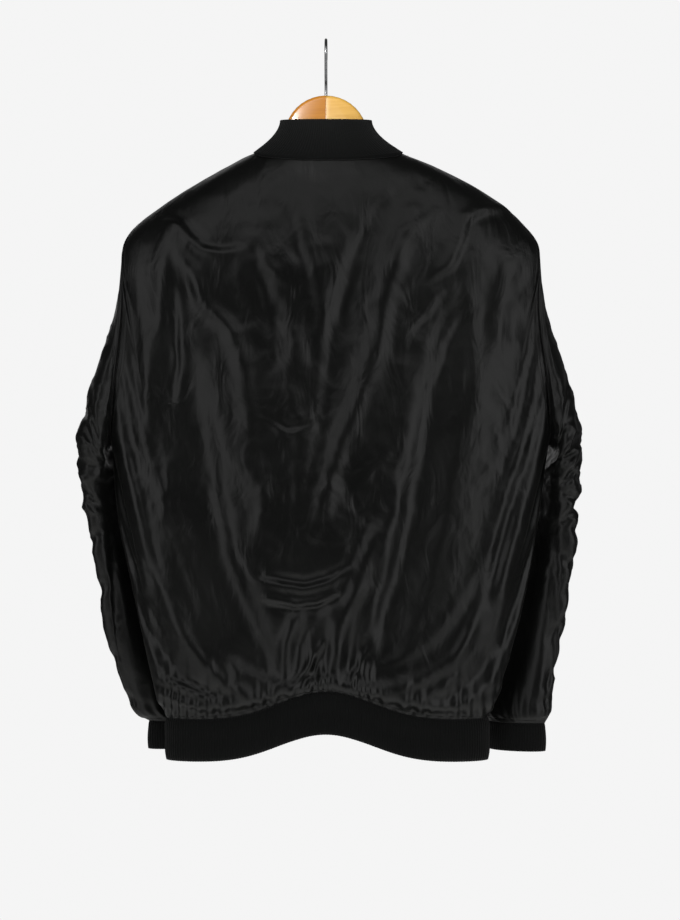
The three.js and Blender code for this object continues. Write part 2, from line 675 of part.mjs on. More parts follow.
// Standing collar of rib, from the zip round the neck and back to the zip.
function collar() {
  const rows = steps(COLLAR_ROWS).map((t) => {
    const inward = 1 - (1 - t) ** COLLAR_FLARE;
    return steps(COLLAR_COLUMNS).map((share) => {
      const side = share <= 0.5 ? 1 : -1;
      const turn = Math.abs(1 - 2 * share) * frontTurn(side, COLLAR_END_X);
      const edge = neckEdge(side, turn);
      const bottom = bodyPoint(edge.face, edge.way, edge.z);
      bottom.z += COLLAR_GAP;
      const cos = Math.cos(turn);
      const top = new THREE.Vector3(
        side * COLLAR_TOP_HALF_WIDTH * Math.sin(turn),
        cos > 0 ? COLLAR_TOP_BACK_Y * cos ** 0.85 : -COLLAR_TOP_FRONT_Y * -((-cos) ** 0.85),
        COLLAR_TOP_Z - (cos > 0 ? COLLAR_TOP_BACK_DIP * cos : COLLAR_TOP_FRONT_DROP * (-cos) ** 1.4),
      );
      if (turn > Math.PI / 2) top.x = Math.sign(top.x) * Math.max(Math.abs(top.x), COLLAR_END_X);
      return new THREE.Vector3(
        THREE.MathUtils.lerp(bottom.x, top.x, inward),
        THREE.MathUtils.lerp(bottom.y, top.y, inward),
        THREE.MathUtils.lerp(bottom.z, top.z, t),
      );
    });
  });
  const cells = rows.map((row, j) =>
    row.map((point, i) => {
      const round = row[Math.min(i + 1, row.length - 1)].clone().sub(row[Math.max(i - 1, 0)]);
      const up = rows[Math.min(j + 1, rows.length - 1)][i].clone().sub(rows[Math.max(j - 1, 0)][i]);
      const normal = new THREE.Vector3().crossVectors(up, round).normalize();
      if (i === 0 || i === row.length - 1) normal.setX(0).normalize();
      if (j === 0) normal.setZ(0).normalize();
      const rib = j === 0 ? 0 : (i % 2) * RIB_HEIGHT;
      return { point: point.clone().addScaledVector(normal, rib), normal, thickness: WALL + rib };
    }),
  );
  return wall(cells, false);
}

// Depth in front of the middle of the zip at a height, on the outer face of the fronts and the band.
function zipLine(z) {
  const low = Math.max(z, ZIP_HEM_Z);
  return panelPoint(-1, 0, low).point;
}

function zipTape(side) {
  const top = NECK_Z - NECK_FRONT_DROP - 2;
  const bottom = ZIP_HEM_Z - HEM_BAND_HEIGHT + 1;
  const heights = steps(ROWS)
    .map(frontEdgeZ)
    .filter((z) => z < top - 5);
  heights.unshift(top);
  heights.push(bottom);
  const rows = heights.map((z) => {
    const onZip = zipLine(z);
    const y = onZip.y - HALF_GAP + TAPE_SETBACK;
    return [TAPE_INNER_X, TAPE_OUTER_X].map((x) => ({
      point: new THREE.Vector3(side * x, y, z),
      normal: new THREE.Vector3(0, -1, 0),
    }));
  });
  return wall(rows, false, TAPE_THICKNESS);
}

function solidOf(geometry) {
  const bare = geometry.clone();
  bare.deleteAttribute("normal");
  bare.deleteAttribute("uv");
  const merged = mergeVertices(bare, 1e-4);
  const triVerts = new Uint32Array(merged.index.array);
  const vertProperties = merged.attributes.position.array;
  return new wasm.Manifold(new wasm.Mesh({ numProp: 3, vertProperties, triVerts }));
}

function geometryOf(solid) {
  const mesh = solid.getMesh();
  const geometry = new THREE.BufferGeometry();
  geometry.setAttribute("position", new THREE.Float32BufferAttribute(mesh.vertProperties, 3));
  geometry.setIndex(Array.from(mesh.triVerts));
  return geometry;
}

// Plate cut from a shape in x and z, with its thickness along y from near to far.
function plate(shape, near, far) {
  const geometry = new THREE.ExtrudeGeometry(shape, {
    depth: far - near,
    bevelEnabled: false,
    curveSegments: 6,
  });
  return geometry.rotateX(Math.PI / 2).translate(0, far, 0);
}

function outline(points) {
  return new THREE.Shape(points.map(([x, z]) => new THREE.Vector2(x, z)));
}

// Slider in its own frame: outward is -Y, its face at y = 0, its middle at z = 0.
function sliderGeometry() {
  const half = SLIDER_LENGTH / 2;
  const head = SLIDER_WIDTH / 2;
  const foot = SLIDER_FOOT_WIDTH / 2;
  const chamfer = 1.4;
  const body = outline([
    [-foot, -half],
    [foot, -half],
    [head, half - 3 * chamfer],
    [head, half - chamfer],
    [head - chamfer, half],
    [chamfer - head, half],
    [-head, half - chamfer],
    [-head, half - 3 * chamfer],
  ]);
  const long = BRIDGE_LENGTH / 2;
  const bridge = new THREE.Shape([
    new THREE.Vector2(-long, -0.5),
    new THREE.Vector2(-long, BRIDGE_HEIGHT - 1),
    new THREE.Vector2(-long + 1, BRIDGE_HEIGHT),
    new THREE.Vector2(long - 1, BRIDGE_HEIGHT),
    new THREE.Vector2(long, BRIDGE_HEIGHT - 1),
    new THREE.Vector2(long, -0.5),
    new THREE.Vector2(long - BRIDGE_BAR, -0.5),
    new THREE.Vector2(long - BRIDGE_BAR, BRIDGE_HEIGHT - BRIDGE_BAR),
    new THREE.Vector2(-long + BRIDGE_BAR, BRIDGE_HEIGHT - BRIDGE_BAR),
    new THREE.Vector2(-long + BRIDGE_BAR, -0.5),
  ]);
  const arch = new THREE.ExtrudeGeometry(bridge, { depth: BRIDGE_WIDTH, bevelEnabled: false });
  // The bridge's outline runs along z and stands out along -y.
  arch.translate(0, 0, -BRIDGE_WIDTH / 2);
  const turn = new THREE.Matrix4().set(0, 0, 1, 0, 0, -1, 0, 0, 1, 0, 0, 0, 0, 0, 0, 1);
  arch.applyMatrix4(turn);
  return geometryOf(solidOf(plate(body, 0, SLIDER_DEPTH)).add(solidOf(arch)));
}

// Pull tab in the same frame, its bar on the hinge's axis at y = -PULL_SEAT.
function pullGeometry() {
  const half = PULL_WIDTH / 2;
  const top = PULL_BAR / 2;
  const tip = top - PULL_LENGTH;
  const round = 2.5;
  const shape = outline([
    [-half, top],
    [-half, tip + round],
    [-half + round, tip],
    [half - round, tip],
    [half, tip + round],
    [half, top],
  ]);
  const hole = PULL_HOLE_WIDTH / 2;
  shape.holes.push(
    new THREE.Path([
      new THREE.Vector2(-hole, -top),
      new THREE.Vector2(hole, -top),
      new THREE.Vector2(hole, -top - PULL_HOLE_LENGTH),
      new THREE.Vector2(-hole, -top - PULL_HOLE_LENGTH),
    ]),
  );
  return plate(shape, -PULL_SEAT - PULL_THICKNESS / 2, -PULL_SEAT + PULL_THICKNESS / 2);
}

// The wood's top edge lies just under the shoulder seam's inner side.
function shoulderZ(side, x) {
  let low = SHOULDER_Z - 20;
  let high = NECK_Z + 10;
  for (let i = 0; i < 40; i += 1) {
    const middle = (low + high) / 2;
    if (halfWidth(side, middle) > x) low = middle;
    else high = middle;
  }
  return (low + high) / 2;
}

function hangerArm(side) {
  const archZ = ARCH_TOP_Z - ARCH_RADIUS;
  const top = [];
  const archTurns = 10;
  for (let i = 0; i <= archTurns; i += 1) {
    const angle = Math.PI / 2 - (i / archTurns) * Math.PI * 0.5;
    const x = Math.max(ARCH_RADIUS * Math.cos(angle), JOINT_GAP);
    top.push([x, archZ + ARCH_RADIUS * Math.sin(angle)]);
  }
  top.push([ARCH_RADIUS + 5, archZ - 13]);
  top.push([ARCH_RADIUS + 17, archZ - 23]);
  const slopeDrop = (x) => shoulderZ(side, x) - ARM_CLEARANCE;
  [96, 118, 141, 164, 187, ARM_REACH - 7].forEach((x) => top.push([x, slopeDrop(x)]));
  const endZ = slopeDrop(ARM_REACH - 7);
  const bottom = [
    [ARM_REACH, endZ - 9],
    [ARM_REACH, endZ - 17],
    [ARM_REACH - 8, endZ - ARM_HEIGHT_OUTER],
  ];
  [180, 145, 110, 75].forEach((x, i) => {
    const height = THREE.MathUtils.lerp(ARM_HEIGHT_OUTER, ARM_HEIGHT_INNER, (i + 1) / 4);
    bottom.push([x, slopeDrop(Math.max(x, 90)) - height + (x < 90 ? 6 : 0)]);
  });
  bottom.push([42, archZ - 44], [JOINT_GAP, archZ - 40]);
  const shape = outline([...top, ...bottom].map(([x, z]) => [side * x, z]));
  const board = plate(shape, -WOOD_THICKNESS / 2, WOOD_THICKNESS / 2);
  const hole = new THREE.CylinderGeometry(STEM_HOLE_RADIUS, STEM_HOLE_RADIUS, 2 * STEM_DEPTH + 2, 12);
  hole.rotateX(Math.PI / 2).translate(0, 0, ARCH_TOP_Z);
  return geometryOf(solidOf(board).subtract(solidOf(hole)));
}

function hookGeometry() {
  const arcRadius = HOOK_RADIUS;
  const centreZ = WIRE_RADIUS - arcRadius;
  const points = [
    new THREE.Vector3(0, 0, ARCH_TOP_Z - STEM_DEPTH),
    new THREE.Vector3(0, 0, ARCH_TOP_Z + 2),
    new THREE.Vector3(0, 1.5, ARCH_TOP_Z + 12),
    new THREE.Vector3(0, 9, ARCH_TOP_Z + 24),
  ];
  const arcTurns = 10;
  const arcStart = -0.35;
  const arcEnd = Math.PI + 0.35;
  for (let i = 0; i <= arcTurns; i += 1) {
    const angle = THREE.MathUtils.lerp(arcStart, arcEnd, i / arcTurns);
    points.push(new THREE.Vector3(0, arcRadius * Math.cos(angle), centreZ + arcRadius * Math.sin(angle)));
  }
  const path = new THREE.CatmullRomCurve3(points);
  const section = new THREE.Shape();
  section.absarc(0, 0, WIRE_RADIUS, 0, Math.PI * 2);
  return new THREE.ExtrudeGeometry(section, {
    steps: WIRE_STEPS,
    extrudePath: path,
    curveSegments: WIRE_SIDES / 2,
  });
}

function material(color, roughness, metalness = 0) {
  return new THREE.MeshStandardMaterial({ color, roughness, metalness });
}

const jacket = new THREE.Group();

function addPiece(name, geometry, finish, parent = jacket) {
  const mesh = new THREE.Mesh(geometry, finish);
  mesh.name = name;
  parent.add(mesh);
}

addPiece("back", backPanel(), material(COLORS.nylon, 0.42));
for (const [name, side] of [["left", 1], ["right", -1]]) {
  addPiece("front_" + name, frontPanel(side), material(COLORS.nylon, 0.42));
  addPiece("sleeve_" + name, sleeve(side), material(COLORS.nylon, 0.42));
  addPiece("cuff_" + name, cuff(side), material(COLORS.rib, 0.9));
  addPiece("zip_tape_" + name, zipTape(side), material(COLORS.tape, 0.8));
  addPiece("hanger_arm_" + name, hangerArm(side), material(COLORS.wood, 0.45));
}
addPiece("collar", collar(), material(COLORS.rib, 0.9));
addPiece("hem_band", hemBand(), material(COLORS.rib, 0.9));
addPiece("hanger_hook", hookGeometry(), material(COLORS.steel, 0.25, 1));

// The slider lies on the tapes at the top of the zip, leaning with the cloth there.
const slider = new THREE.Group();
const above = zipLine(SLIDER_Z + 6);
const below = zipLine(SLIDER_Z - 6);
const lean = Math.atan2(below.y - above.y, above.z - below.z);
slider.position.set(0, zipLine(SLIDER_Z).y - HALF_GAP + TAPE_SETBACK - SLIDER_DEPTH - SEAM_GAP, SLIDER_Z);
slider.rotation.x = lean;
jacket.add(slider);
addPiece("zip_slider", sliderGeometry(), material(COLORS.zipMetal, 0.35, 1), slider);
addPiece("zip_pull", pullGeometry(), material(COLORS.zipMetal, 0.35, 1), slider);

export default jacket;
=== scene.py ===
# %% [markdown]
# A bomber jacket hangs on a wooden hanger, seen from behind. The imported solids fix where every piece
# goes, and this lesson makes the cloth, knit, wood and metal around them. All places are in metres,
# the rail side is up, the back of the jacket looks along +Y and the zipped front along -Y.

# %% Load the frame
import math
import bmesh
import bpy
import numpy as np
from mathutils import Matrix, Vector, noise
from mathutils.bvhtree import BVHTree
from mathutils.kdtree import KDTree


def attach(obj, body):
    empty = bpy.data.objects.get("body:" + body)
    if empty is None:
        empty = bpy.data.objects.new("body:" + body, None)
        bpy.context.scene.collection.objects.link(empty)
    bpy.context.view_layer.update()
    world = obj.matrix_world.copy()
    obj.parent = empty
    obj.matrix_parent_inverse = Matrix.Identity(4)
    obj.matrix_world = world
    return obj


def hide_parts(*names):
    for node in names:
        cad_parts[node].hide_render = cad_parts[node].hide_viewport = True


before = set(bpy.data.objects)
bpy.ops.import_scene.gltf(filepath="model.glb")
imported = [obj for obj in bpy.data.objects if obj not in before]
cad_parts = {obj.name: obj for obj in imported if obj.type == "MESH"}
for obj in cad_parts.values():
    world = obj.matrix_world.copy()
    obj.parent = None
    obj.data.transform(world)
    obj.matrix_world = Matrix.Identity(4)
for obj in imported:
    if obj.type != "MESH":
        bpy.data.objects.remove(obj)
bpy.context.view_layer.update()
MM = 0.001
JACKET = "jacket"
PULL = "zip_pull"

# %% [markdown]
# Small helpers come first. A colour given in hex is an sRGB value, but Blender mixes light in linear
# values, so one function turns hex colours into linear ones. One more function adds a node to a tree
# with its settings and links, for materials and for geometry alike.

# %% Helpers for colours and nodes
def linear(hex_colour):
    """Linear RGBA of an sRGB hex colour such as 1D1F1E."""
    parts = [int(hex_colour[i:i + 2], 16) / 255 for i in (0, 2, 4)]
    return tuple(p / 12.92 if p <= 0.04045 else ((p + 0.055) / 1.055) ** 2.4 for p in parts) + (1.0,)


def add(tree, kind, links=None, values=None, **settings):
    """A new node: settings are its own, values go into its sockets, links come from other sockets."""
    node = tree.nodes.new(kind)
    for name, value in settings.items():
        setattr(node, name, value)
    for socket, value in (values or {}).items():
        node.inputs[socket].default_value = value
    for socket, source in (links or {}).items():
        tree.links.new(source, node.inputs[socket])
    return node


# %% [markdown]
# The camera stands straight behind the jacket, as a photographer in front of a clothes rail does. A long
# lens from 2.6 m keeps the sleeves and the hem in proportion. It is made early, so that every piece can
# be looked at as soon as it is there.

# %% Camera
PHOTO_HEIGHT_AT_JACKET = 1.15
CAMERA_DISTANCE = 2.6
CAMERA_X = -0.0175
CAMERA_Z = -0.5231
SENSOR = 36.0

camera_data = bpy.data.cameras.new("behind_the_rail")
camera_data.sensor_width = SENSOR
camera_data.lens = SENSOR * CAMERA_DISTANCE / PHOTO_HEIGHT_AT_JACKET
camera = bpy.data.objects.new("behind_the_rail", camera_data)
camera.location = (CAMERA_X, CAMERA_DISTANCE, CAMERA_Z)
camera.rotation_euler = (math.radians(90), 0, math.radians(180))
bpy.context.scene.collection.objects.link(camera)
bpy.context.scene.camera = camera
print("lens", round(camera_data.lens, 1), "mm")

# %% [markdown]
# A black satin cloth shows its shape by what it reflects. Wide dim panels stand above and on both sides,
# off the camera's line: cloth that faces the camera mirrors the dark room, and every flank that turns to
# a side or up catches a panel. The ground behind looks white, but lights the cloth no more than a dark
# room would. A small spot brings out the wood. The floor lies well below the hem, as under a rail.

# %% Studio light and floor
FLOOR_Z = -1.75
ROOM_LEVEL, GROUND_LEVEL = 0.04, 0.98
LIGHTS = (
    # name, place, looks at, width, height, watts
    ("top_panel", (0.0, 1.7, 1.0), (0, 0, -0.4), 2.8, 1.4, 7),
    ("left_panel", (1.95, 1.7, -0.4), (0, 0, -0.5), 2.0, 2.6, 11),
    ("right_panel", (-1.95, 1.7, -0.4), (0, 0, -0.5), 2.0, 2.6, 13),
    ("front_panel", (0.3, -2.4, 0.4), (0, 0, -0.5), 2.6, 2.4, 7),
    ("floor_wash", (0.0, 0.0, -1.2), (0, 0, -2), 2.6, 2.6, 12),
)
for name, place, target, width, height, watts in LIGHTS:
    light = bpy.data.lights.new(name, "AREA")
    light.shape, light.size, light.size_y, light.energy = "RECTANGLE", width, height, watts
    lamp = bpy.data.objects.new(name, light)
    lamp.location = place
    lamp.rotation_euler = (Vector(target) - Vector(place)).to_track_quat("-Z", "Y").to_euler()
    bpy.context.scene.collection.objects.link(lamp)

snoot = bpy.data.lights.new("wood_spot", "SPOT")
snoot.energy, snoot.spot_size, snoot.spot_blend, snoot.shadow_soft_size = 88, math.radians(6), 0.5, 0.05
lamp = bpy.data.objects.new("wood_spot", snoot)
lamp.location = (0.5, 1.7, 0.45)
lamp.rotation_euler = (Vector((0, 0, -0.065)) - Vector(lamp.location)).to_track_quat("-Z", "Y").to_euler()
bpy.context.scene.collection.objects.link(lamp)

world = bpy.data.worlds.new("white_studio")
world.use_nodes = True
world.node_tree.nodes["Background"].inputs["Color"].default_value = linear("F7F7F7")
world.node_tree.nodes["Background"].inputs["Strength"].default_value = 1.0
seen = add(world.node_tree, "ShaderNodeLightPath")
level = add(world.node_tree, "ShaderNodeMapRange", {"Value": seen.outputs["Is Camera Ray"]}, {"To Min": ROOM_LEVEL, "To Max": GROUND_LEVEL})
world.node_tree.links.new(level.outputs[0], world.node_tree.nodes["Background"].inputs["Strength"])
bpy.context.scene.world = world
bpy.context.scene.view_settings.view_transform = "Standard"

bpy.ops.mesh.primitive_circle_add(vertices=96, radius=2.6, fill_type="NGON", location=(0, 0, FLOOR_Z))
floor = bpy.context.object
floor.name = "studio_floor"
floor_paint = bpy.data.materials.new("matt_white_floor")
floor_paint.use_nodes = True
floor_tree = floor_paint.node_tree
place = add(floor_tree, "ShaderNodeTexCoord")
mottle = add(floor_tree, "ShaderNodeTexNoise", {"Vector": place.outputs["Object"]}, {"Scale": 3.0})
tint = add(floor_tree, "ShaderNodeValToRGB", {"Fac": mottle.outputs["Fac"]})
tint.color_ramp.elements[0].color = linear("ECECEA")
tint.color_ramp.elements[1].color = linear("F4F4F2")
shader = floor_tree.nodes["Principled BSDF"]
shader.inputs["Roughness"].default_value = 0.9
floor_tree.links.new(tint.outputs["Color"], shader.inputs["Base Color"])
floor.data.materials.append(floor_paint)
print("lights", len(LIGHTS))

# %% [markdown]
# The jacket's body is worked out from level sections, as a tailor's stand is. Each row gives how far the
# cloth reaches to the wearer's left and right, behind and in front. Between the rows a smooth curve runs
# through them, and each section is a squarish oval.

# %% Level sections of the body, in millimetres
BODY_NAMES = ("z", "left", "right", "back", "front")
BODY_ROWS = (
    (-125, 60, 62, 30, 26), (-139, 87, 92, 43, 38), (-156, 122, 134, 53, 46), (-186, 174, 192, 61, 53),
    (-216, 219, 234, 66, 58), (-232, 238, 249, 68, 60), (-262, 259, 272, 71, 63), (-340, 269, 280, 76, 67),
    (-430, 274, 287, 79, 70), (-505, 268, 278, 80, 71), (-600, 259, 263, 80, 70), (-680, 240, 249, 77, 67),
    (-756, 225, 232, 71, 62), (-815, 213, 216, 63, 56), (-850, 206, 209, 54, 49), (-900, 203, 205, 50, 45),
)
SQUARENESS = 2.4


def smooth_table(rows, names, step=0.5):
    """Each named column of a table, read every step along its first column, on a smooth curve."""
    data = np.array(rows, float)
    data = data[np.argsort(data[:, 0])]
    at = data[:, 0]
    slope = np.empty_like(data)
    slope[1:-1] = (data[2:] - data[:-2]) / (at[2:] - at[:-2])[:, None]
    slope[0] = (data[1] - data[0]) / (at[1] - at[0])
    slope[-1] = (data[-1] - data[-2]) / (at[-1] - at[-2])
    fine = np.arange(at[0], at[-1] + step / 2, step)
    i = np.clip(np.searchsorted(at, fine, "right") - 1, 0, len(at) - 2)
    span = at[i + 1] - at[i]
    t = ((fine - at[i]) / span)[:, None]
    span = span[:, None]
    curve = ((2 * t**3 - 3 * t**2 + 1) * data[i] + (t**3 - 2 * t**2 + t) * span * slope[i]
             + (3 * t**2 - 2 * t**3) * data[i + 1] + (t**3 - t**2) * span * slope[i + 1])
    return {name: (fine, curve[:, k]) for k, name in enumerate(names)}


BODY = smooth_table(BODY_ROWS, BODY_NAMES)


def read(table, name, at):
    fine, values = table[name]
    return np.interp(at, fine, values)


def half_width(side, z):
    return np.where(np.asarray(side) > 0, read(BODY, "left", z), read(BODY, "right", z))


def body_depth(face, z):
    return read(BODY, "back" if face > 0 else "front", z)


def bulge(share):
    return (1 - np.minimum(np.abs(share), 1) ** SQUARENESS) ** (1 / SQUARENESS)


print("chest across", float(half_width(1, -430) + half_width(-1, -430)), "mm")

# %% [markdown]
# Cloth has to be spread evenly round a section, or the weave would crowd at the sides. The way round runs
# from 0 at the middle of the back or front to 1 at the side seam, even along the cloth. A short table
# turns it into the share of the half width, and back.

# %% Even way round a section
WAY_SHARES = np.sin(np.linspace(0, 1, 601) * np.pi / 2)
WAY_RUN = np.concatenate([[0], np.cumsum(np.hypot(np.diff(WAY_SHARES) * 255, np.diff(bulge(WAY_SHARES)) * 74))])


def share_at(way):
    return np.sign(way) * np.interp(np.abs(way) * WAY_RUN[-1], WAY_RUN, WAY_SHARES)


def way_at(share):
    return np.sign(share) * np.interp(np.abs(share), WAY_SHARES, WAY_RUN) / WAY_RUN[-1]


def body_point(face, way, z):
    """Points of the smooth body. face is 1 behind and -1 in front."""
    share = share_at(np.clip(way, -1, 1))
    x = share * half_width(np.where(way < 0, -1, 1), z)
    return np.stack([x, face * body_depth(face, z) * bulge(share), z + 0 * x], -1)


def unit(v):
    return v / np.maximum(np.linalg.norm(v, axis=-1, keepdims=True), 1e-12)


def body_normal(face, p):
    """Outward direction of the smooth body at points on it."""
    side = np.where(p[..., 0] < 0, -1, 1)
    z = p[..., 2]
    width, depth = half_width(side, z), body_depth(face, z)
    width_slope = (half_width(side, z + 1) - half_width(side, z - 1)) / 2
    depth_slope = (body_depth(face, z + 1) - body_depth(face, z - 1)) / 2
    across = np.abs(p[..., 0]) / width
    along = np.abs(p[..., 1]) / depth
    return unit(np.stack([
        np.sign(p[..., 0]) * across ** (SQUARENESS - 1) / width,
        face * along ** (SQUARENESS - 1) / depth,
        -(across**SQUARENESS) * width_slope / width - along**SQUARENESS * depth_slope / depth,
    ], -1))


# %% [markdown]
# A panel is cut along its seams: the neckline, the shoulder, the armhole, the side seam, the hem and, in
# front, the zip. Each edge is a line in way round and height. A patch between four such edges gives an
# even net of points over the whole panel.

# %% Seam lines
NECK_Z, NECK_BACK_DROP, NECK_FRONT_DROP = -139, 10, 76
SHOULDER_Z, UNDERARM_Z, ARMHOLE_DEPTH = -232, -505, 36
FRONT_EDGE_X = 6
HEM_SIDE_Z, HEM_BACK_RISE, HEM_FRONT_RISE, HEM_RISE_WIDTH, HEM_BAND_HEIGHT = -846, 37, 27, 78, 51
ZIP_HEM_Z = HEM_SIDE_Z + HEM_FRONT_RISE
HEM_TUCK, HEM_TUCK_REACH = 8, 15
HALF_SEAM = 0.15


def hem_z(face, x):
    rise = HEM_BACK_RISE if face > 0 else HEM_FRONT_RISE
    return HEM_SIDE_Z + rise * np.exp(-((x / HEM_RISE_WIDTH) ** 2))


def hem_edge(face, way):
    x = share_at(way) * half_width(np.where(way < 0, -1, 1), HEM_SIDE_Z)
    return way, hem_z(face, x)


def armhole_edge(face, side, angle, shrink=0.0):
    """The armhole from the shoulder, angle 0, to under the arm, angle pi."""
    z = (SHOULDER_Z + UNDERARM_Z) / 2 + ((SHOULDER_Z - UNDERARM_Z) / 2 - shrink) * np.cos(angle)
    y = np.maximum((ARMHOLE_DEPTH - shrink) * np.sin(angle), 0)
    share = (1 - (y / body_depth(face, z)) ** SQUARENESS) ** (1 / SQUARENESS)
    return side * way_at(share), z


def neck_edge(side, turn):
    """The neckline from the middle of the back, turn 0, over the shoulder to the front, turn pi."""
    drop = np.where(turn <= np.pi / 2, NECK_BACK_DROP, NECK_FRONT_DROP)
    z = NECK_Z - drop * np.abs(np.cos(turn))
    x = half_width(side, NECK_Z) * np.sin(turn)
    return side * way_at(np.minimum(x / half_width(side, z), 1)), z


def front_turn(side, x=FRONT_EDGE_X):
    return float(np.pi - np.arcsin(x / half_width(side, NECK_Z)))


def shoulder_edge(side, t):
    return side + 0 * t, SHOULDER_Z + (NECK_Z - SHOULDER_Z) * t


def side_edge(face, side, v, arm_share):
    """Side of a panel: round the armhole for the first arm_share of the way, then down the side seam."""
    angle = np.minimum(v / arm_share, 1) * np.pi
    way, z = armhole_edge(face, side, angle)
    low = np.clip((v - arm_share) / (1 - arm_share), 0, 1)
    below = v > arm_share
    return np.where(below, side, way), np.where(below, UNDERARM_Z + (HEM_SIDE_Z - UNDERARM_Z) * low, z)


def patch(top, bottom, first, last, us, vs):
    """Net of way and height between four edges, each a pair of lists."""
    u, v = us[None, :], vs[:, None]
    net = []
    for k in (0, 1):
        t, b, f, l = (np.asarray(edge[k], float) for edge in (top, bottom, first, last))
        across = (1 - v) * t[None, :] + v * b[None, :]
        down = (1 - u) * f[:, None] + u * l[:, None]
        corners = ((1 - u) * (1 - v) * t[0] + u * (1 - v) * t[-1] + (1 - u) * v * b[0] + u * v * b[-1])
        net.append(across + down - corners)
    return net


ARM_SHARE = 0.5
print("armhole from", SHOULDER_Z, "to", UNDERARM_Z, "mm")
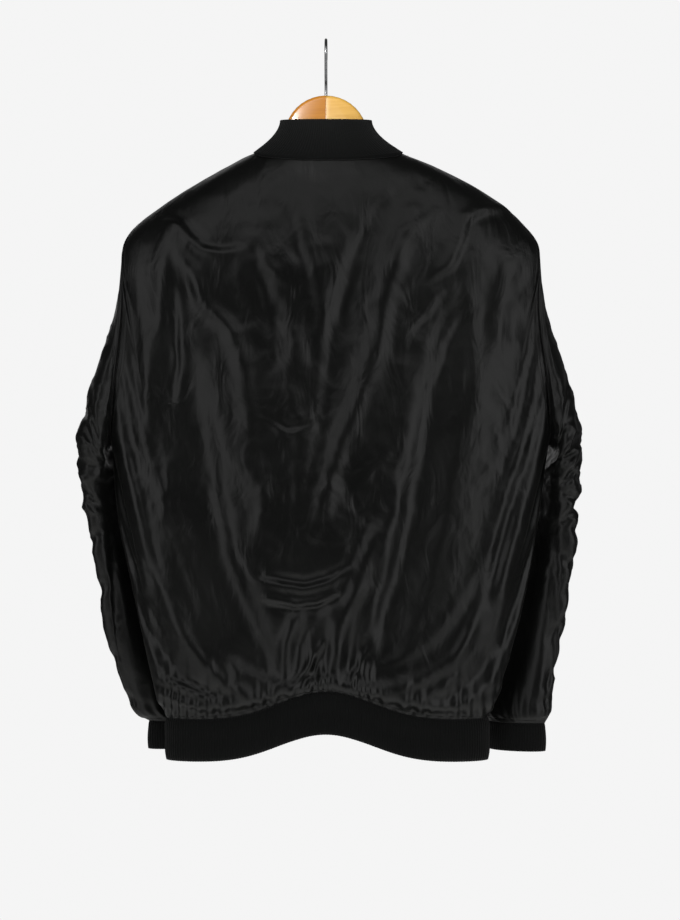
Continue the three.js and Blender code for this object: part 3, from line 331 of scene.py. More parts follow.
# %% [markdown]
# The cloth hangs in folds that tell how it is held: long ones run down from the shoulder points, and the
# back is gathered into the hem band. Each large fold is given as a path of points in
# millimetres, seen from behind, with a strength at every point, so that it swells and fades unevenly. A
# soft fold is a rounded ridge or trough. A crease is a sharp step, raised on one side and sunk on the
# other. A band is a wide trough, deepest along the edge towards the middle of the jacket, so that its
# floor faces straight back and mirrors the dark room.

# %% Folds of the back
# each row: kind, width, height, then points of (x, z, strength)
BACK_FOLDS = (
    ("band", 29, -15, ((184, -420, 0.3), (172, -490, 0.8), (162, -570, 1.0), (146, -645, 1.0), (124, -705, 0.9), (98, -765, 0.8), (80, -812, 0.5))),
    ("band", 25, -14, ((-164, -360, 0.2), (-150, -430, 0.7), (-138, -510, 1.0), (-122, -595, 1.0), (-105, -675, 1.0), (-82, -735, 0.8), (-55, -790, 0.5))),
    ("band", 22, -9, ((-112, -196, 0.3), (-78, -228, 0.8), (-54, -275, 1.0), (-36, -330, 1.0), (-22, -400, 0.9), (-13, -480, 0.6), (-5, -540, 0.3))),
    ("soft", 11, 6, ((-106, -218, 0.5), (-88, -270, 1.0), (-74, -325, 0.9), (-62, -380, 1.0), (-46, -432, 0.9), (-24, -490, 1.0), (0, -560, 0.7), (16, -612, 0.4))),
    ("crease", 7, 6, ((202, -222, 0.5), (180, -229, 1.0), (164, -248, 1.0), (150, -262, 0.9), (128, -266, 0.6), (102, -262, 0.2))),
    ("crease", 8, 6, ((-224, -214, 0.4), (-198, -217, 0.8), (-176, -228, 1.0), (-168, -260, 1.0), (-155, -288, 0.9), (-136, -302, 0.4))),
    ("soft", 10, 5, ((190, -238, 0.6), (168, -290, 1.0), (145, -335, 1.0), (116, -362, 0.9), (100, -410, 0.9), (93, -475, 0.6), (95, -520, 0.3))),
    ("soft", 11, 5, ((196, -245, 0.6), (202, -320, 1.0), (211, -385, 0.9), (216, -440, 0.9), (222, -500, 0.5))),
    ("crease", 6, -5, ((182, -318, 0.4), (180, -370, 1.0), (181, -415, 1.0), (186, -448, 0.5))),
    ("soft", 7, -4, ((172, -292, 0.7), (167, -316, 1.0), (164, -330, 0.3))),
    ("soft", 12, 5, ((232, -310, 0.5), (222, -390, 0.8), (224, -450, 0.4))),
    ("soft", 10, 5, ((246, -520, 0.5), (232, -575, 0.9), (224, -640, 1.0), (221, -700, 0.9), (214, -760, 0.8), (206, -800, 0.3))),
    ("soft", 15, 6, ((222, -560, 0.3), (206, -620, 0.9), (190, -680, 1.0), (176, -735, 0.8), (160, -785, 0.4))),
    ("soft", 12, 5, ((-228, -278, 0.5), (-218, -330, 1.0), (-209, -375, 0.9), (-194, -420, 0.5))),
    ("soft", 10, 4, ((-182, -330, 0.4), (-180, -385, 1.0), (-184, -435, 0.8), (-186, -470, 0.3))),
    ("soft", 10, 4, ((-240, -320, 0.4), (-252, -375, 1.0), (-262, -420, 0.6))),
    ("crease", 6, 4, ((-140, -322, 0.5), (-124, -348, 1.0), (-106, -362, 0.9), (-96, -388, 0.4))),
    ("crease", 6, 4, ((-166, -345, 0.4), (-152, -368, 1.0), (-142, -400, 0.9), (-130, -430, 0.4))),
    ("soft", 9, 5, ((-244, -500, 0.4), (-222, -560, 0.8), (-206, -625, 1.0), (-194, -690, 0.9), (-168, -752, 0.8), (-146, -808, 0.5))),
    ("soft", 9, 5, ((-252, -520, 0.3), (-236, -590, 0.9), (-222, -650, 1.0), (-212, -730, 0.9), (-208, -800, 0.5))),
    ("soft", 11, -4, ((-232, -540, 0.3), (-214, -610, 0.8), (-200, -680, 0.8), (-186, -750, 0.5))),
    ("soft", 17, 6, ((112, -640, 0.4), (88, -670, 0.9), (70, -690, 0.6))),
    ("crease", 7, 6, ((72, -668, 0.4), (50, -672, 0.9), (26, -676, 1.0), (-4, -668, 0.8), (-24, -656, 0.3))),
    ("crease", 7, -6, ((68, -696, 0.5), (40, -702, 1.0), (10, -700, 1.0), (-10, -690, 0.6))),
    ("soft", 8, 6, ((34, -706, 0.5), (48, -746, 1.0), (54, -798, 0.8), (52, -812, 0.5))),
    ("soft", 7, -5, ((14, -712, 0.3), (32, -750, 0.9), (38, -800, 0.7))),
    ("crease", 6, 6, ((4, -752, 0.5), (16, -776, 1.0), (34, -800, 1.0), (42, -812, 0.5))),
    ("soft", 9, 5, ((-8, -700, 0.4), (-12, -760, 1.0), (-4, -808, 0.8))),
    ("soft", 8, -5, ((-40, -700, 0.3), (-33, -750, 0.9), (-24, -804, 0.8))),
    ("soft", 10, 5, ((-60, -612, 0.4), (-36, -684, 0.9), (-20, -724, 0.9), (-14, -770, 0.4))),
    ("crease", 6, 5, ((-50, -764, 0.5), (-34, -800, 1.0), (-26, -812, 0.6))),
    ("soft", 9, 5, ((-62, -700, 0.3), (-58, -750, 0.9), (-46, -802, 0.7))),
    ("soft", 8, 4, ((76, -250, 0.4), (70, -285, 1.0), (52, -306, 0.6))),
    ("soft", 8, 4, ((32, -206, 0.4), (22, -250, 1.0), (8, -312, 0.8), (2, -350, 0.3))),
    ("soft", 7, -3, ((44, -225, 0.4), (36, -270, 0.9), (24, -300, 0.3))),
    ("soft", 8, -3, ((88, -270, 0.5), (72, -325, 0.9), (60, -372, 0.8), (66, -410, 0.3))),
    ("soft", 7, 3, ((48, -330, 0.4), (38, -380, 1.0), (46, -430, 0.7), (36, -470, 0.3))),
    ("soft", 9, -3, ((20, -340, 0.4), (16, -400, 1.0), (24, -460, 0.5))),
    ("crease", 5, 3, ((76, -470, 0.3), (44, -488, 1.0), (20, -480, 0.6), (0, -468, 0.3))),
    ("soft", 18, 4, ((100, -520, 0.4), (76, -560, 1.0), (70, -600, 0.5))),
    ("soft", 12, 4, ((-66, -540, 0.5), (-84, -582, 1.0), (-70, -640, 0.5))),
    ("soft", 10, -3, ((-34, -560, 0.4), (-50, -600, 0.8), (-30, -648, 0.4))),
    ("crease", 6, 4, ((-96, -240, 0.3), (-118, -226, 0.9), (-132, -214, 0.4))),
    ("crease", 6, 3, ((206, -806, 0.4), (178, -818, 0.9), (152, -826, 0.6))),
    ("crease", 6, 4, ((200, -790, 0.4), (174, -800, 1.0), (142, -812, 0.5))),
    ("crease", 5, 3, ((196, -828, 0.6), (172, -836, 1.0), (150, -836, 0.4))),
    ("soft", 8, 4, ((112, -770, 0.4), (104, -800, 1.0), (96, -822, 0.6))),
    ("soft", 8, -4, ((128, -760, 0.4), (122, -800, 1.0), (118, -830, 0.6))),
)
# %% Folds of the fronts, which hang in the same way
FRONT_FOLDS = (
    ("soft", 20, -9, ((172, -300, 0.3), (178, -400, 0.8), (160, -520, 1.0), (138, -650, 1.0), (108, -760, 0.8), (92, -815, 0.4))),
    ("soft", 19, -9, ((-158, -290, 0.3), (-172, -400, 0.8), (-152, -530, 1.0), (-126, -660, 1.0), (-106, -770, 0.8), (-88, -820, 0.4))),
    ("soft", 14, 6, ((112, -236, 0.5), (88, -330, 1.0), (72, -450, 0.9), (66, -580, 1.0), (58, -700, 0.5))),
    ("soft", 14, 6, ((-112, -236, 0.5), (-86, -340, 1.0), (-70, -470, 0.9), (-64, -600, 1.0), (-60, -720, 0.5))),
    ("soft", 13, 5, ((222, -560, 0.4), (202, -650, 1.0), (182, -740, 0.8), (166, -800, 0.4))),
    ("soft", 13, 5, ((-226, -560, 0.4), (-204, -650, 1.0), (-184, -740, 0.8), (-168, -805, 0.4))),
    ("crease", 7, 5, ((196, -236, 0.4), (172, -262, 1.0), (150, -300, 0.9), (132, -322, 0.4))),
    ("crease", 7, 5, ((-206, -238, 0.4), (-176, -266, 1.0), (-150, -296, 0.9), (-130, -330, 0.4))),
    ("soft", 11, -4, ((46, -300, 0.4), (40, -420, 0.9), (46, -540, 0.7), (38, -640, 0.4))),
    ("soft", 11, -4, ((-44, -290, 0.4), (-38, -410, 0.9), (-46, -560, 0.7), (-36, -660, 0.4))),
    ("soft", 10, 5, ((120, -700, 0.3), (108, -760, 0.9), (102, -820, 0.7))),
    ("soft", 10, 5, ((-122, -700, 0.3), (-112, -760, 0.9), (-104, -820, 0.7))),
    ("soft", 9, 4, ((226, -330, 0.5), (214, -400, 1.0), (222, -470, 0.4))),
    ("soft", 9, 4, ((-236, -320, 0.5), (-222, -390, 1.0), (-230, -470, 0.4))),
)
# %% Shape of a fold


def fold_height(folds, x, z):
    """Height of all folds at places x and z."""
    total = np.zeros_like(x)
    for kind, width, height, path in folds:
        path = np.array(path, float)
        best = np.full(x.shape, np.inf)
        strength, side = np.zeros_like(x), np.zeros_like(x)
        for a, b in zip(path[:-1], path[1:]):
            d = b[:2] - a[:2]
            t = np.clip(((x - a[0]) * d[0] + (z - a[1]) * d[1]) / (d @ d), 0, 1)
            off_x, off_z = x - a[0] - t * d[0], z - a[1] - t * d[1]
            gap = np.hypot(off_x, off_z)
            nearer = gap < best
            best = np.where(nearer, gap, best)
            strength = np.where(nearer, a[2] + t * (b[2] - a[2]), strength)
            side = np.where(nearer, np.sign(d[0] * off_z - d[1] * off_x), side)
        near = best / width
        if kind == "soft":
            total += height * strength * np.exp(-near**2)
        elif kind == "band":
            outwards = side * near * np.sign(path[:, 0].mean())
            total += height * strength * (1 - 0.85 * np.clip(outwards, -1, 1)) / 1.85 / (1 + np.exp((near - 1) * 5))
        else:
            total += height * strength * side * 1.9 * near * np.exp(-near**2 * 1.1) * np.where(side > 0, 1, 0.75)
    return total


# %% [markdown]
# Where the cloth is gathered into the hem, it rises and sinks in short uneven pleats. They are made from
# a few waves whose spacing drifts along the seam, so that no two are alike.

# %% Gathers at the hem
GATHER_SPACING = 14.5
GATHER_HEIGHT = 3.4
GATHER_REACH = 46


def gather_height(x, height, phase):
    """Pleats of the gathered cloth: x runs along the seam, height is the distance above it."""
    height = np.maximum(height, 0)
    drift = x + 9 * np.sin(x / 31 + phase) + 5 * np.sin(x / 17.3 + 2 * phase)
    wave = np.sin(2 * np.pi * drift / GATHER_SPACING + 0.02 * height * np.sin(x / 23 + phase))
    size = 0.6 + 0.4 * np.sin(x / 37.7 + 3 * phase) * np.sin(x / 12.9)
    reach = GATHER_REACH * (0.55 + 0.45 * np.sin(x / 19.1 + phase) ** 2)
    rise = np.clip(height / 6, 0, 1)
    return GATHER_HEIGHT * size * wave * rise * np.exp(-((height / reach) ** 1.6))


def panel_lift(face, p, way):
    """How far the cloth of a body panel stands off the smooth body before it hangs."""
    height = p[..., 2] - hem_z(face, p[..., 0])
    edge = np.clip((1 - np.abs(way)) / 0.07, 0, 1) * np.clip(height / 22, 0, 1)
    lift = -HEM_TUCK * np.exp(-((height / HEM_TUCK_REACH) ** 2))
    folds = BACK_FOLDS if face > 0 else FRONT_FOLDS
    near = 1 if face > 0 else np.clip((np.abs(p[..., 0]) - FRONT_EDGE_X) / 24, 0, 1)
    return lift + SHARE_BEFORE * edge * near * fold_height(folds, p[..., 0], p[..., 2])


# %% [markdown]
# A net of points becomes a mesh of four-sided faces, with a UV map in metres of flat cloth, so that the
# weave has one scale everywhere. Solidify gives the cloth its thickness at the end.

# %% Nets to meshes
CLOTH = 1.1 * MM
SHARE_BEFORE, SHARE_AFTER = 0.4, 0.75


def net_object(name, points, closed=False, uv=None, outwards=None):
    """A mesh from a net of points in millimetres. outwards holds rough outward directions."""
    rows, columns = points.shape[:2]
    across = columns if closed else columns - 1
    j, i = np.meshgrid(np.arange(rows - 1), np.arange(across), indexing="ij")
    nxt = (i + 1) % columns
    quads = np.stack([j * columns + i, (j + 1) * columns + i, (j + 1) * columns + nxt, j * columns + nxt], -1).reshape(-1, 4)
    p = points.reshape(-1, 3)
    facing = np.cross(p[quads[:, 1]] - p[quads[:, 0]], p[quads[:, 3]] - p[quads[:, 0]])
    flip = (facing * outwards.reshape(-1, 3)[quads[:, 0]]).sum() < 0
    order = [0, 3, 2, 1] if flip else [0, 1, 2, 3]
    mesh = bpy.data.meshes.new(name)
    mesh.from_pydata((p * MM).tolist(), [], quads[:, order].tolist())
    if uv is None:
        du = np.linalg.norm(np.diff(points, axis=1, append=points[:, :1] if closed else points[:, -1:]), axis=-1)
        dv = np.linalg.norm(np.diff(points, axis=0), axis=-1)
        run = np.concatenate([np.zeros((rows, 1)), np.cumsum(du, 1)[:, :across]], 1)
        fall = np.concatenate([np.zeros((1, columns)), np.cumsum(dv, 0)])
        fall = np.concatenate([fall, fall[:, :1]], 1) if closed else fall
        uv = np.stack([run, fall], -1) * MM
    corner_i = np.stack([i, i, i + 1, i + 1], -1).reshape(-1, 4)[:, order]
    corner_j = np.stack([j, j + 1, j + 1, j], -1).reshape(-1, 4)[:, order]
    layer = mesh.uv_layers.new(name="cloth")
    layer.data.foreach_set("uv", uv[corner_j, corner_i].reshape(-1).astype(np.float32))
    mesh.shade_smooth()
    made = bpy.data.objects.new(name, mesh)
    bpy.context.scene.collection.objects.link(made)
    return made


def coordinates(mesh):
    co = np.empty(len(mesh.vertices) * 3)
    mesh.vertices.foreach_get("co", co)
    return co.reshape(-1, 3)


def plain_mesh(piece):
    """Turns a piece and its modifiers into a plain mesh with none."""
    graph = bpy.context.evaluated_depsgraph_get()
    made = bpy.data.meshes.new_from_object(piece.evaluated_get(graph), preserve_all_data_layers=True, depsgraph=graph)
    piece.modifiers.clear()
    if piece.data.shape_keys:
        piece.shape_key_clear()
    piece.data = made
    made.shade_smooth()
    return piece


def refined(piece):
    """Rounds a net with one subdivision."""
    smooth = piece.modifiers.new("rounded", "SUBSURF")
    smooth.levels = smooth.render_levels = 1
    smooth.boundary_smooth = "PRESERVE_CORNERS"
    return plain_mesh(piece)


def seam_distance(piece):
    """Distance in millimetres from each point of a net to its nearest edge, kept as an attribute too."""
    mesh = piece.data
    count = {}
    for polygon in mesh.polygons:
        for key in polygon.edge_keys:
            count[key] = count.get(key, 0) + 1
    on_edge = sorted({v for key, n in count.items() if n == 1 for v in key})
    tree = KDTree(len(on_edge))
    for v in on_edge:
        tree.insert(mesh.vertices[v].co, v)
    tree.balance()
    far = np.array([tree.find(v.co)[2] for v in mesh.vertices]) / MM
    mesh.attributes.new("seam", "FLOAT", "POINT").data.foreach_set("value", far.astype(np.float32))
    return far


def push_out(piece, lift):
    """Moves the points of a net along their normals by lift millimetres."""
    mesh = piece.data
    normals = np.empty(3 * len(mesh.vertices))
    mesh.vertices.foreach_get("normal", normals)
    moved = coordinates(mesh) + normals.reshape(-1, 3) * lift[:, None] * MM
    mesh.vertices.foreach_set("co", moved.astype(np.float32).ravel())
    mesh.update()


def crumple(p, sizes, seed):
    """Sharp little ridges and soft hollows of pressed nylon, from -1 to 1, in cells of the given sizes."""
    cells = p / np.array(sizes) + seed
    return np.array([noise.ridged_multi_fractal(Vector(c), 0.9, 2.1, 3, 0.9, 1.6) for c in cells]) - 1.0


def thicken(piece, thickness=CLOTH, refine=1):
    """Rounds a net with one subdivision and gives it a wall towards the inside."""
    if refine:
        refined(piece)
    wall = piece.modifiers.new("wall", "SOLIDIFY")
    wall.thickness, wall.offset = thickness, -1
    return plain_mesh(piece)


# %% [markdown]
# Real nylon settles by itself once it hangs, and no table of folds gives all of that. So each panel
# takes a short cloth simulation. Its seams stay pinned where the sewing holds them, its rest lengths are
# those of the larger flat cut, and gravity pulls it down. The spare cloth then buckles between the listed
# folds. The seams and a weak hold on the inside keep those folds where they belong.

# %% Letting a panel hang
HANG_FRAMES = 26
MOST_SWING = 13


def hang(piece, cut, pins, facing, frames=HANG_FRAMES, stiffness=22, bending=0.6, swing=MOST_SWING):
    """Simulates a panel. cut holds the points of the larger cut, pins how firmly each point is held.
    Over the hanger, where the wood fills the shoulders, the cloth can't sink in along facing."""
    start = coordinates(piece.data)
    group = piece.vertex_groups.new(name="held")
    for weight in np.unique(np.round(pins, 2)):
        if weight > 0:
            group.add(np.flatnonzero(np.round(pins, 2) == weight).tolist(), float(weight), "REPLACE")
    piece.shape_key_add(name="start")
    key = piece.shape_key_add(name="cut")
    key.data.foreach_set("co", (cut.reshape(-1, 3) * MM).astype(np.float32).ravel())
    key.value = 0
    cloth = piece.modifiers.new("cloth", "CLOTH")
    given = cloth.settings
    given.quality = 7
    given.mass = 0.12
    given.tension_stiffness = given.compression_stiffness = stiffness
    given.shear_stiffness = stiffness * 0.35
    given.bending_stiffness = bending
    given.bending_damping = 1.0
    given.air_damping = 3.0
    given.vertex_group_mass = "held"
    given.pin_stiffness = 1.0
    given.rest_shape_key = key
    cloth.collision_settings.use_collision = False
    cloth.point_cache.frame_start, cloth.point_cache.frame_end = 1, frames
    scene = bpy.context.scene
    for frame_number in range(1, frames + 1):
        scene.frame_set(frame_number)
    graph = bpy.context.evaluated_depsgraph_get()
    hung = coordinates(piece.evaluated_get(graph).data)
    piece.modifiers.remove(cloth)
    piece.shape_key_clear()
    scene.frame_set(1)
    shift = (hung - start) / MM
    size = np.linalg.norm(shift, axis=1, keepdims=True)
    shift *= swing * np.tanh(size / swing) / np.maximum(size, 1e-9)
    facing = facing.reshape(-1, 3)
    sink = np.minimum((shift * facing).sum(1), 0)
    most = np.interp(start[:, 2] / MM, (-350, -285), (MOST_SWING, 0.5))
    shift -= facing * (sink + np.minimum(-sink, most))[:, None]
    piece.data.vertices.foreach_set("co", (start + shift * MM).astype(np.float32).ravel())
    piece.data.update()
    print(piece.name, "hung, moved up to", round(float(size.max()), 1), "mm, kept", round(float(np.linalg.norm(shift, axis=1).max()), 1))
    return piece


def area_of(points):
    """Area of a net of points in square metres."""
    a = np.cross(points[1:, :-1] - points[:-1, :-1], points[:-1, 1:] - points[:-1, :-1])
    return float(np.linalg.norm(a, axis=-1).sum()) * MM * MM


# %% [markdown]
# The simulation leaves round, slow folds. The sharper ones that the photograph shows are laid over them
# now, on a finer net: the creases of the tables, the gathers over the hem band, and a light crumpling
# that is strongest between the shoulder blades. All of them die out at the seams.

# %% Laying folds on a hung panel
CRUMPLED = ((62, -330, 80, 130, 1.0), (-110, -340, 80, 90, 0.8), (30, -570, 100, 80, 0.9), (-60, -560, 50, 110, 0.7),
            (215, -600, 40, 200, 0.6), (-215, -500, 40, 220, 0.6))


CRUMPLE_HEIGHT = 2.0


def lay_folds(piece, face):
    refined(piece)
    p = coordinates(piece.data) / MM
    x, z = p[:, 0], p[:, 2]
    far = seam_distance(piece)
    height = z - hem_z(face, x)
    inner = np.clip((far - 4) / 26, 0, 1)
    lift = SHARE_AFTER * inner * fold_height(BACK_FOLDS if face > 0 else FRONT_FOLDS, x, z)
    strength = 0.22 + sum(s * np.exp(-(((x - cx) / w) ** 2) - ((z - cz) / h) ** 2) for cx, cz, w, h, s in CRUMPLED)
    lift += CRUMPLE_HEIGHT * np.clip(far / 20, 0, 1) * strength * crumple(p, (52, 60, 88), 3.1 + face)
    lift += 0.5 * CRUMPLE_HEIGHT * np.clip(far / 12, 0, 1) * strength * crumple(p, (24, 30, 30), 9.7 + face)
    zip_free = 1 if face > 0 else np.clip((np.abs(x) - 20) / 14, 0, 1)
    lift += gather_height(x, height, 0.7 * face) * zip_free * np.clip(far / 5, 0, 1)
    push_out(piece, lift)


# %% [markdown]
# The back is one piece of cloth from the collar seam to the hem band and from armhole to armhole. Its
# cut is wider than the place it fills, most of all at the hem, where the knitted band draws it in.

# %% The back
BACK_COLUMNS, ARM_ROWS, SIDE_ROWS = 96, 48, 58
EASE_ACROSS = ((-900, 1.16), (-846, 1.14), (-780, 1.07), (-640, 1.035), (-450, 1.03), (-232, 1.02), (-120, 1.0))
EASE_DOWN = 1.035


def rows_down(arm_rows, side_rows):
    arm = np.linspace(0, ARM_SHARE, arm_rows + 1)
    return np.concatenate([arm, ARM_SHARE + (1 - ARM_SHARE) * np.arange(1, side_rows + 1) / side_rows])


def eased(points):
    """The panel's cut: wider by an ease that depends on the height, and a little longer."""
    heights, eases = zip(*EASE_ACROSS)
    ease = np.interp(points[..., 2], heights, eases)
    middle = points[..., 0].mean()
    return np.stack([middle + (points[..., 0] - middle) * ease, points[..., 1] * ease,
                     SHOULDER_Z + (points[..., 2] - SHOULDER_Z) * EASE_DOWN], -1)


def held_edges(rows, columns, reach, inside):
    """Pins of 1 on the edge of a net, fading over a few points to a weak hold inside."""
    j, i = np.meshgrid(np.arange(rows), np.arange(columns), indexing="ij")
    to_edge = np.minimum(np.minimum(j, rows - 1 - j), np.minimum(i, columns - 1 - i))
    return np.maximum(np.where(to_edge == 0, 1.0, 0.0), inside * (1 + 3 * np.clip(1 - to_edge / reach, 0, 1)))


us = np.linspace(0, 1, BACK_COLUMNS + 1)
vs = rows_down(ARM_ROWS, SIDE_ROWS)
shoulder = 15 / 48
left_t = np.clip(us / shoulder, 0, 1)
right_t = np.clip((1 - us) / shoulder, 0, 1)
across = np.clip(1 - 2 * (us - shoulder) / (1 - 2 * shoulder), -1, 1)
neck_left, neck_right = neck_edge(1, np.abs(across) * np.pi / 2), neck_edge(-1, np.abs(across) * np.pi / 2)
on_left, on_right = us <= shoulder, us >= 1 - shoulder
edge_left, edge_right = shoulder_edge(1, left_t), shoulder_edge(-1, right_t)
back_top = [np.where(on_left, edge_left[k], np.where(on_right, edge_right[k], np.where(across < 0, neck_right[k], neck_left[k])))
            for k in (0, 1)]
way, z = patch(back_top, hem_edge(1, 1 - 2 * us), side_edge(1, 1, vs, ARM_SHARE), side_edge(1, -1, vs, ARM_SHARE), us, vs)
smooth_back = body_point(1, way, z)
back_facing = body_normal(1, smooth_back)
back_points = smooth_back + back_facing * panel_lift(1, smooth_back, way)[..., None]
back_points[..., 1] += HALF_SEAM
back = net_object("back_panel", back_points, outwards=back_facing)
back_pins = held_edges(*way.shape, reach=6, inside=0.02)
hang(back, eased(smooth_back), back_pins.ravel(), back_facing)
lay_folds(back, 1)
thicken(back)

# %% [markdown]
# Each front reaches from its armhole to the zip. The two are made by the same steps, mirrored, and their
# folds differ a little, as they would on a rail.

# %% The fronts
FRONT_COLUMNS = 52


def front_edge_z(v):
    top = NECK_Z - NECK_FRONT_DROP * abs(math.cos(front_turn(1)))
    share = (SHOULDER_Z - side_edge(-1, 1, v, ARM_SHARE)[1]) / (SHOULDER_Z - HEM_SIDE_Z)
    return top + (hem_z(-1, FRONT_EDGE_X) - top) * share


fronts = {}
for name, side in (("left", 1), ("right", -1)):
    us = np.linspace(0, 1, FRONT_COLUMNS + 1)
    shoulder = 15 / 24
    turn = np.pi / 2 + np.clip((us - shoulder) / (1 - shoulder), 0, 1) * (front_turn(side) - np.pi / 2)
    on_shoulder = us <= shoulder
    edge, neck = shoulder_edge(side, np.clip(us / shoulder, 0, 1)), neck_edge(side, turn)
    top = [np.where(on_shoulder, edge[k], neck[k]) for k in (0, 1)]
    edge_z = front_edge_z(vs)
    front_edge = (side * way_at(FRONT_EDGE_X / half_width(side, edge_z)), edge_z)
    bottom = hem_edge(-1, side + (front_edge[0][-1] - side) * us)
    way, z = patch(top, bottom, side_edge(-1, side, vs, ARM_SHARE), front_edge, us, vs)
    smooth = body_point(-1, way, z)
    facing = body_normal(-1, smooth)
    points = smooth + facing * panel_lift(-1, smooth, way)[..., None]
    points[..., 1] -= HALF_SEAM
    front = net_object("front_panel_" + name, points, outwards=facing)
    hang(front, eased(smooth), held_edges(*way.shape, reach=6, inside=0.02).ravel(), facing)
    lay_folds(front, -1)
    fronts[name] = (thicken(front), area_of(eased(smooth)))
    print(front.name, len(front.data.polygons), "faces, cut of", round(fronts[name][1], 3), "square metres")
# %% [markdown]
# A sleeve is a tube sewn into the armhole. It leaves the body flat and wide, narrows under the arm and
# hangs beside the body with its lower half in front, where the arms of an empty jacket swing. A table of
# rings says where its middle is, how wide and deep it is, and how each ring leans and turns.

# %% Rings of the sleeves, in millimetres and degrees
RING_NAMES = ("x", "y", "z", "wide", "deep", "lean", "turn")
SLEEVE_RINGS = {
    "left": (
        (261, 0, -389, 119, 40, 94, 0), (267.5, 0, -425, 86, 44, 92, 0), (278.5, 0, -457, 58, 47, 83, 0),
        (286.5, -2, -487, 38, 49, 66, 2), (289, -8, -516, 30, 50, 41, 8), (285, -18, -550, 23, 51, 22, 17),
        (276, -31, -590, 22, 57, 10, 20), (265, -43, -630, 23, 62, 5, 25), (253, -52, -680, 25, 62, 3, 31),
        (241, -58, -740, 26, 60, 3, 40), (224, -61, -790, 26, 56, 3, 50), (208, -60, -836, 26, 48, 2, 64),
        (191, -57, -854, 18, 37, 0, 68),
    ),
    "right": (
        (273, 0, -389, 119, 40, 94, 0), (280, 0, -425, 86, 44, 92, 0), (290, 0, -457, 58, 47, 83, 0),
        (297, -2, -487, 39, 49, 66, 2), (298.5, -8, -516, 31, 50, 41, 8), (295, -18, -550, 25, 51, 22, 17),
        (287.5, -31, -590, 25, 58, 10, 22), (281.5, -42, -630, 27, 62, 5, 28), (272.5, -46, -680, 28, 62, 3, 31),
        (261, -50, -740, 28, 60, 3, 38), (251, -49, -790, 28, 56, 3, 46), (242, -42, -836, 27, 48, 2, 56),
        (241.5, -34, -854, 18, 37, 0, 66),
    ),
}
SLEEVE_AROUND, SLEEVE_DOWN = 64, 104
LAST_RING = 12


def ring_at(name, t):
    """Smooth ring of a sleeve at place t: its middle, its two directions and half widths."""
    rows = np.array(SLEEVE_RINGS[name], float)
    i = np.clip(np.floor(t).astype(int), 0, len(rows) - 2)
    f = (t - i)[:, None]
    p = [rows[np.clip(i + k, 0, len(rows) - 1)] for k in (-1, 0, 1, 2)]
    b, c = p[2] - p[0], 2 * p[0] - 5 * p[1] + 4 * p[2] - p[3]
    d = 3 * p[1] - p[0] - 3 * p[2] + p[3]
    got = dict(zip(RING_NAMES, (0.5 * (2 * p[1] + b * f + c * f**2 + d * f**3)).T))
    side = 1 if name == "left" else -1
    lean, turn = np.radians(got["lean"]), np.radians(got["turn"])
    middle = np.stack([side * got["x"], got["y"], got["z"]], -1)
    across = np.stack([side * np.cos(lean) * np.cos(turn), -np.cos(lean) * np.sin(turn), np.sin(lean)], -1)
    back = np.stack([side * np.sin(turn), np.cos(turn), 0 * turn], -1)
    return middle, across, back, got["wide"], got["deep"]


# %% [markdown]
# Under the arm a sleeve is pressed together lengthwise, and its cloth breaks into the small diamonds that
# every crumpled tube shows. Lower down, slanting folds run round it. Each crease is a row: where along the
# sleeve, at what angle round it, its slant, its length, its width and its height.

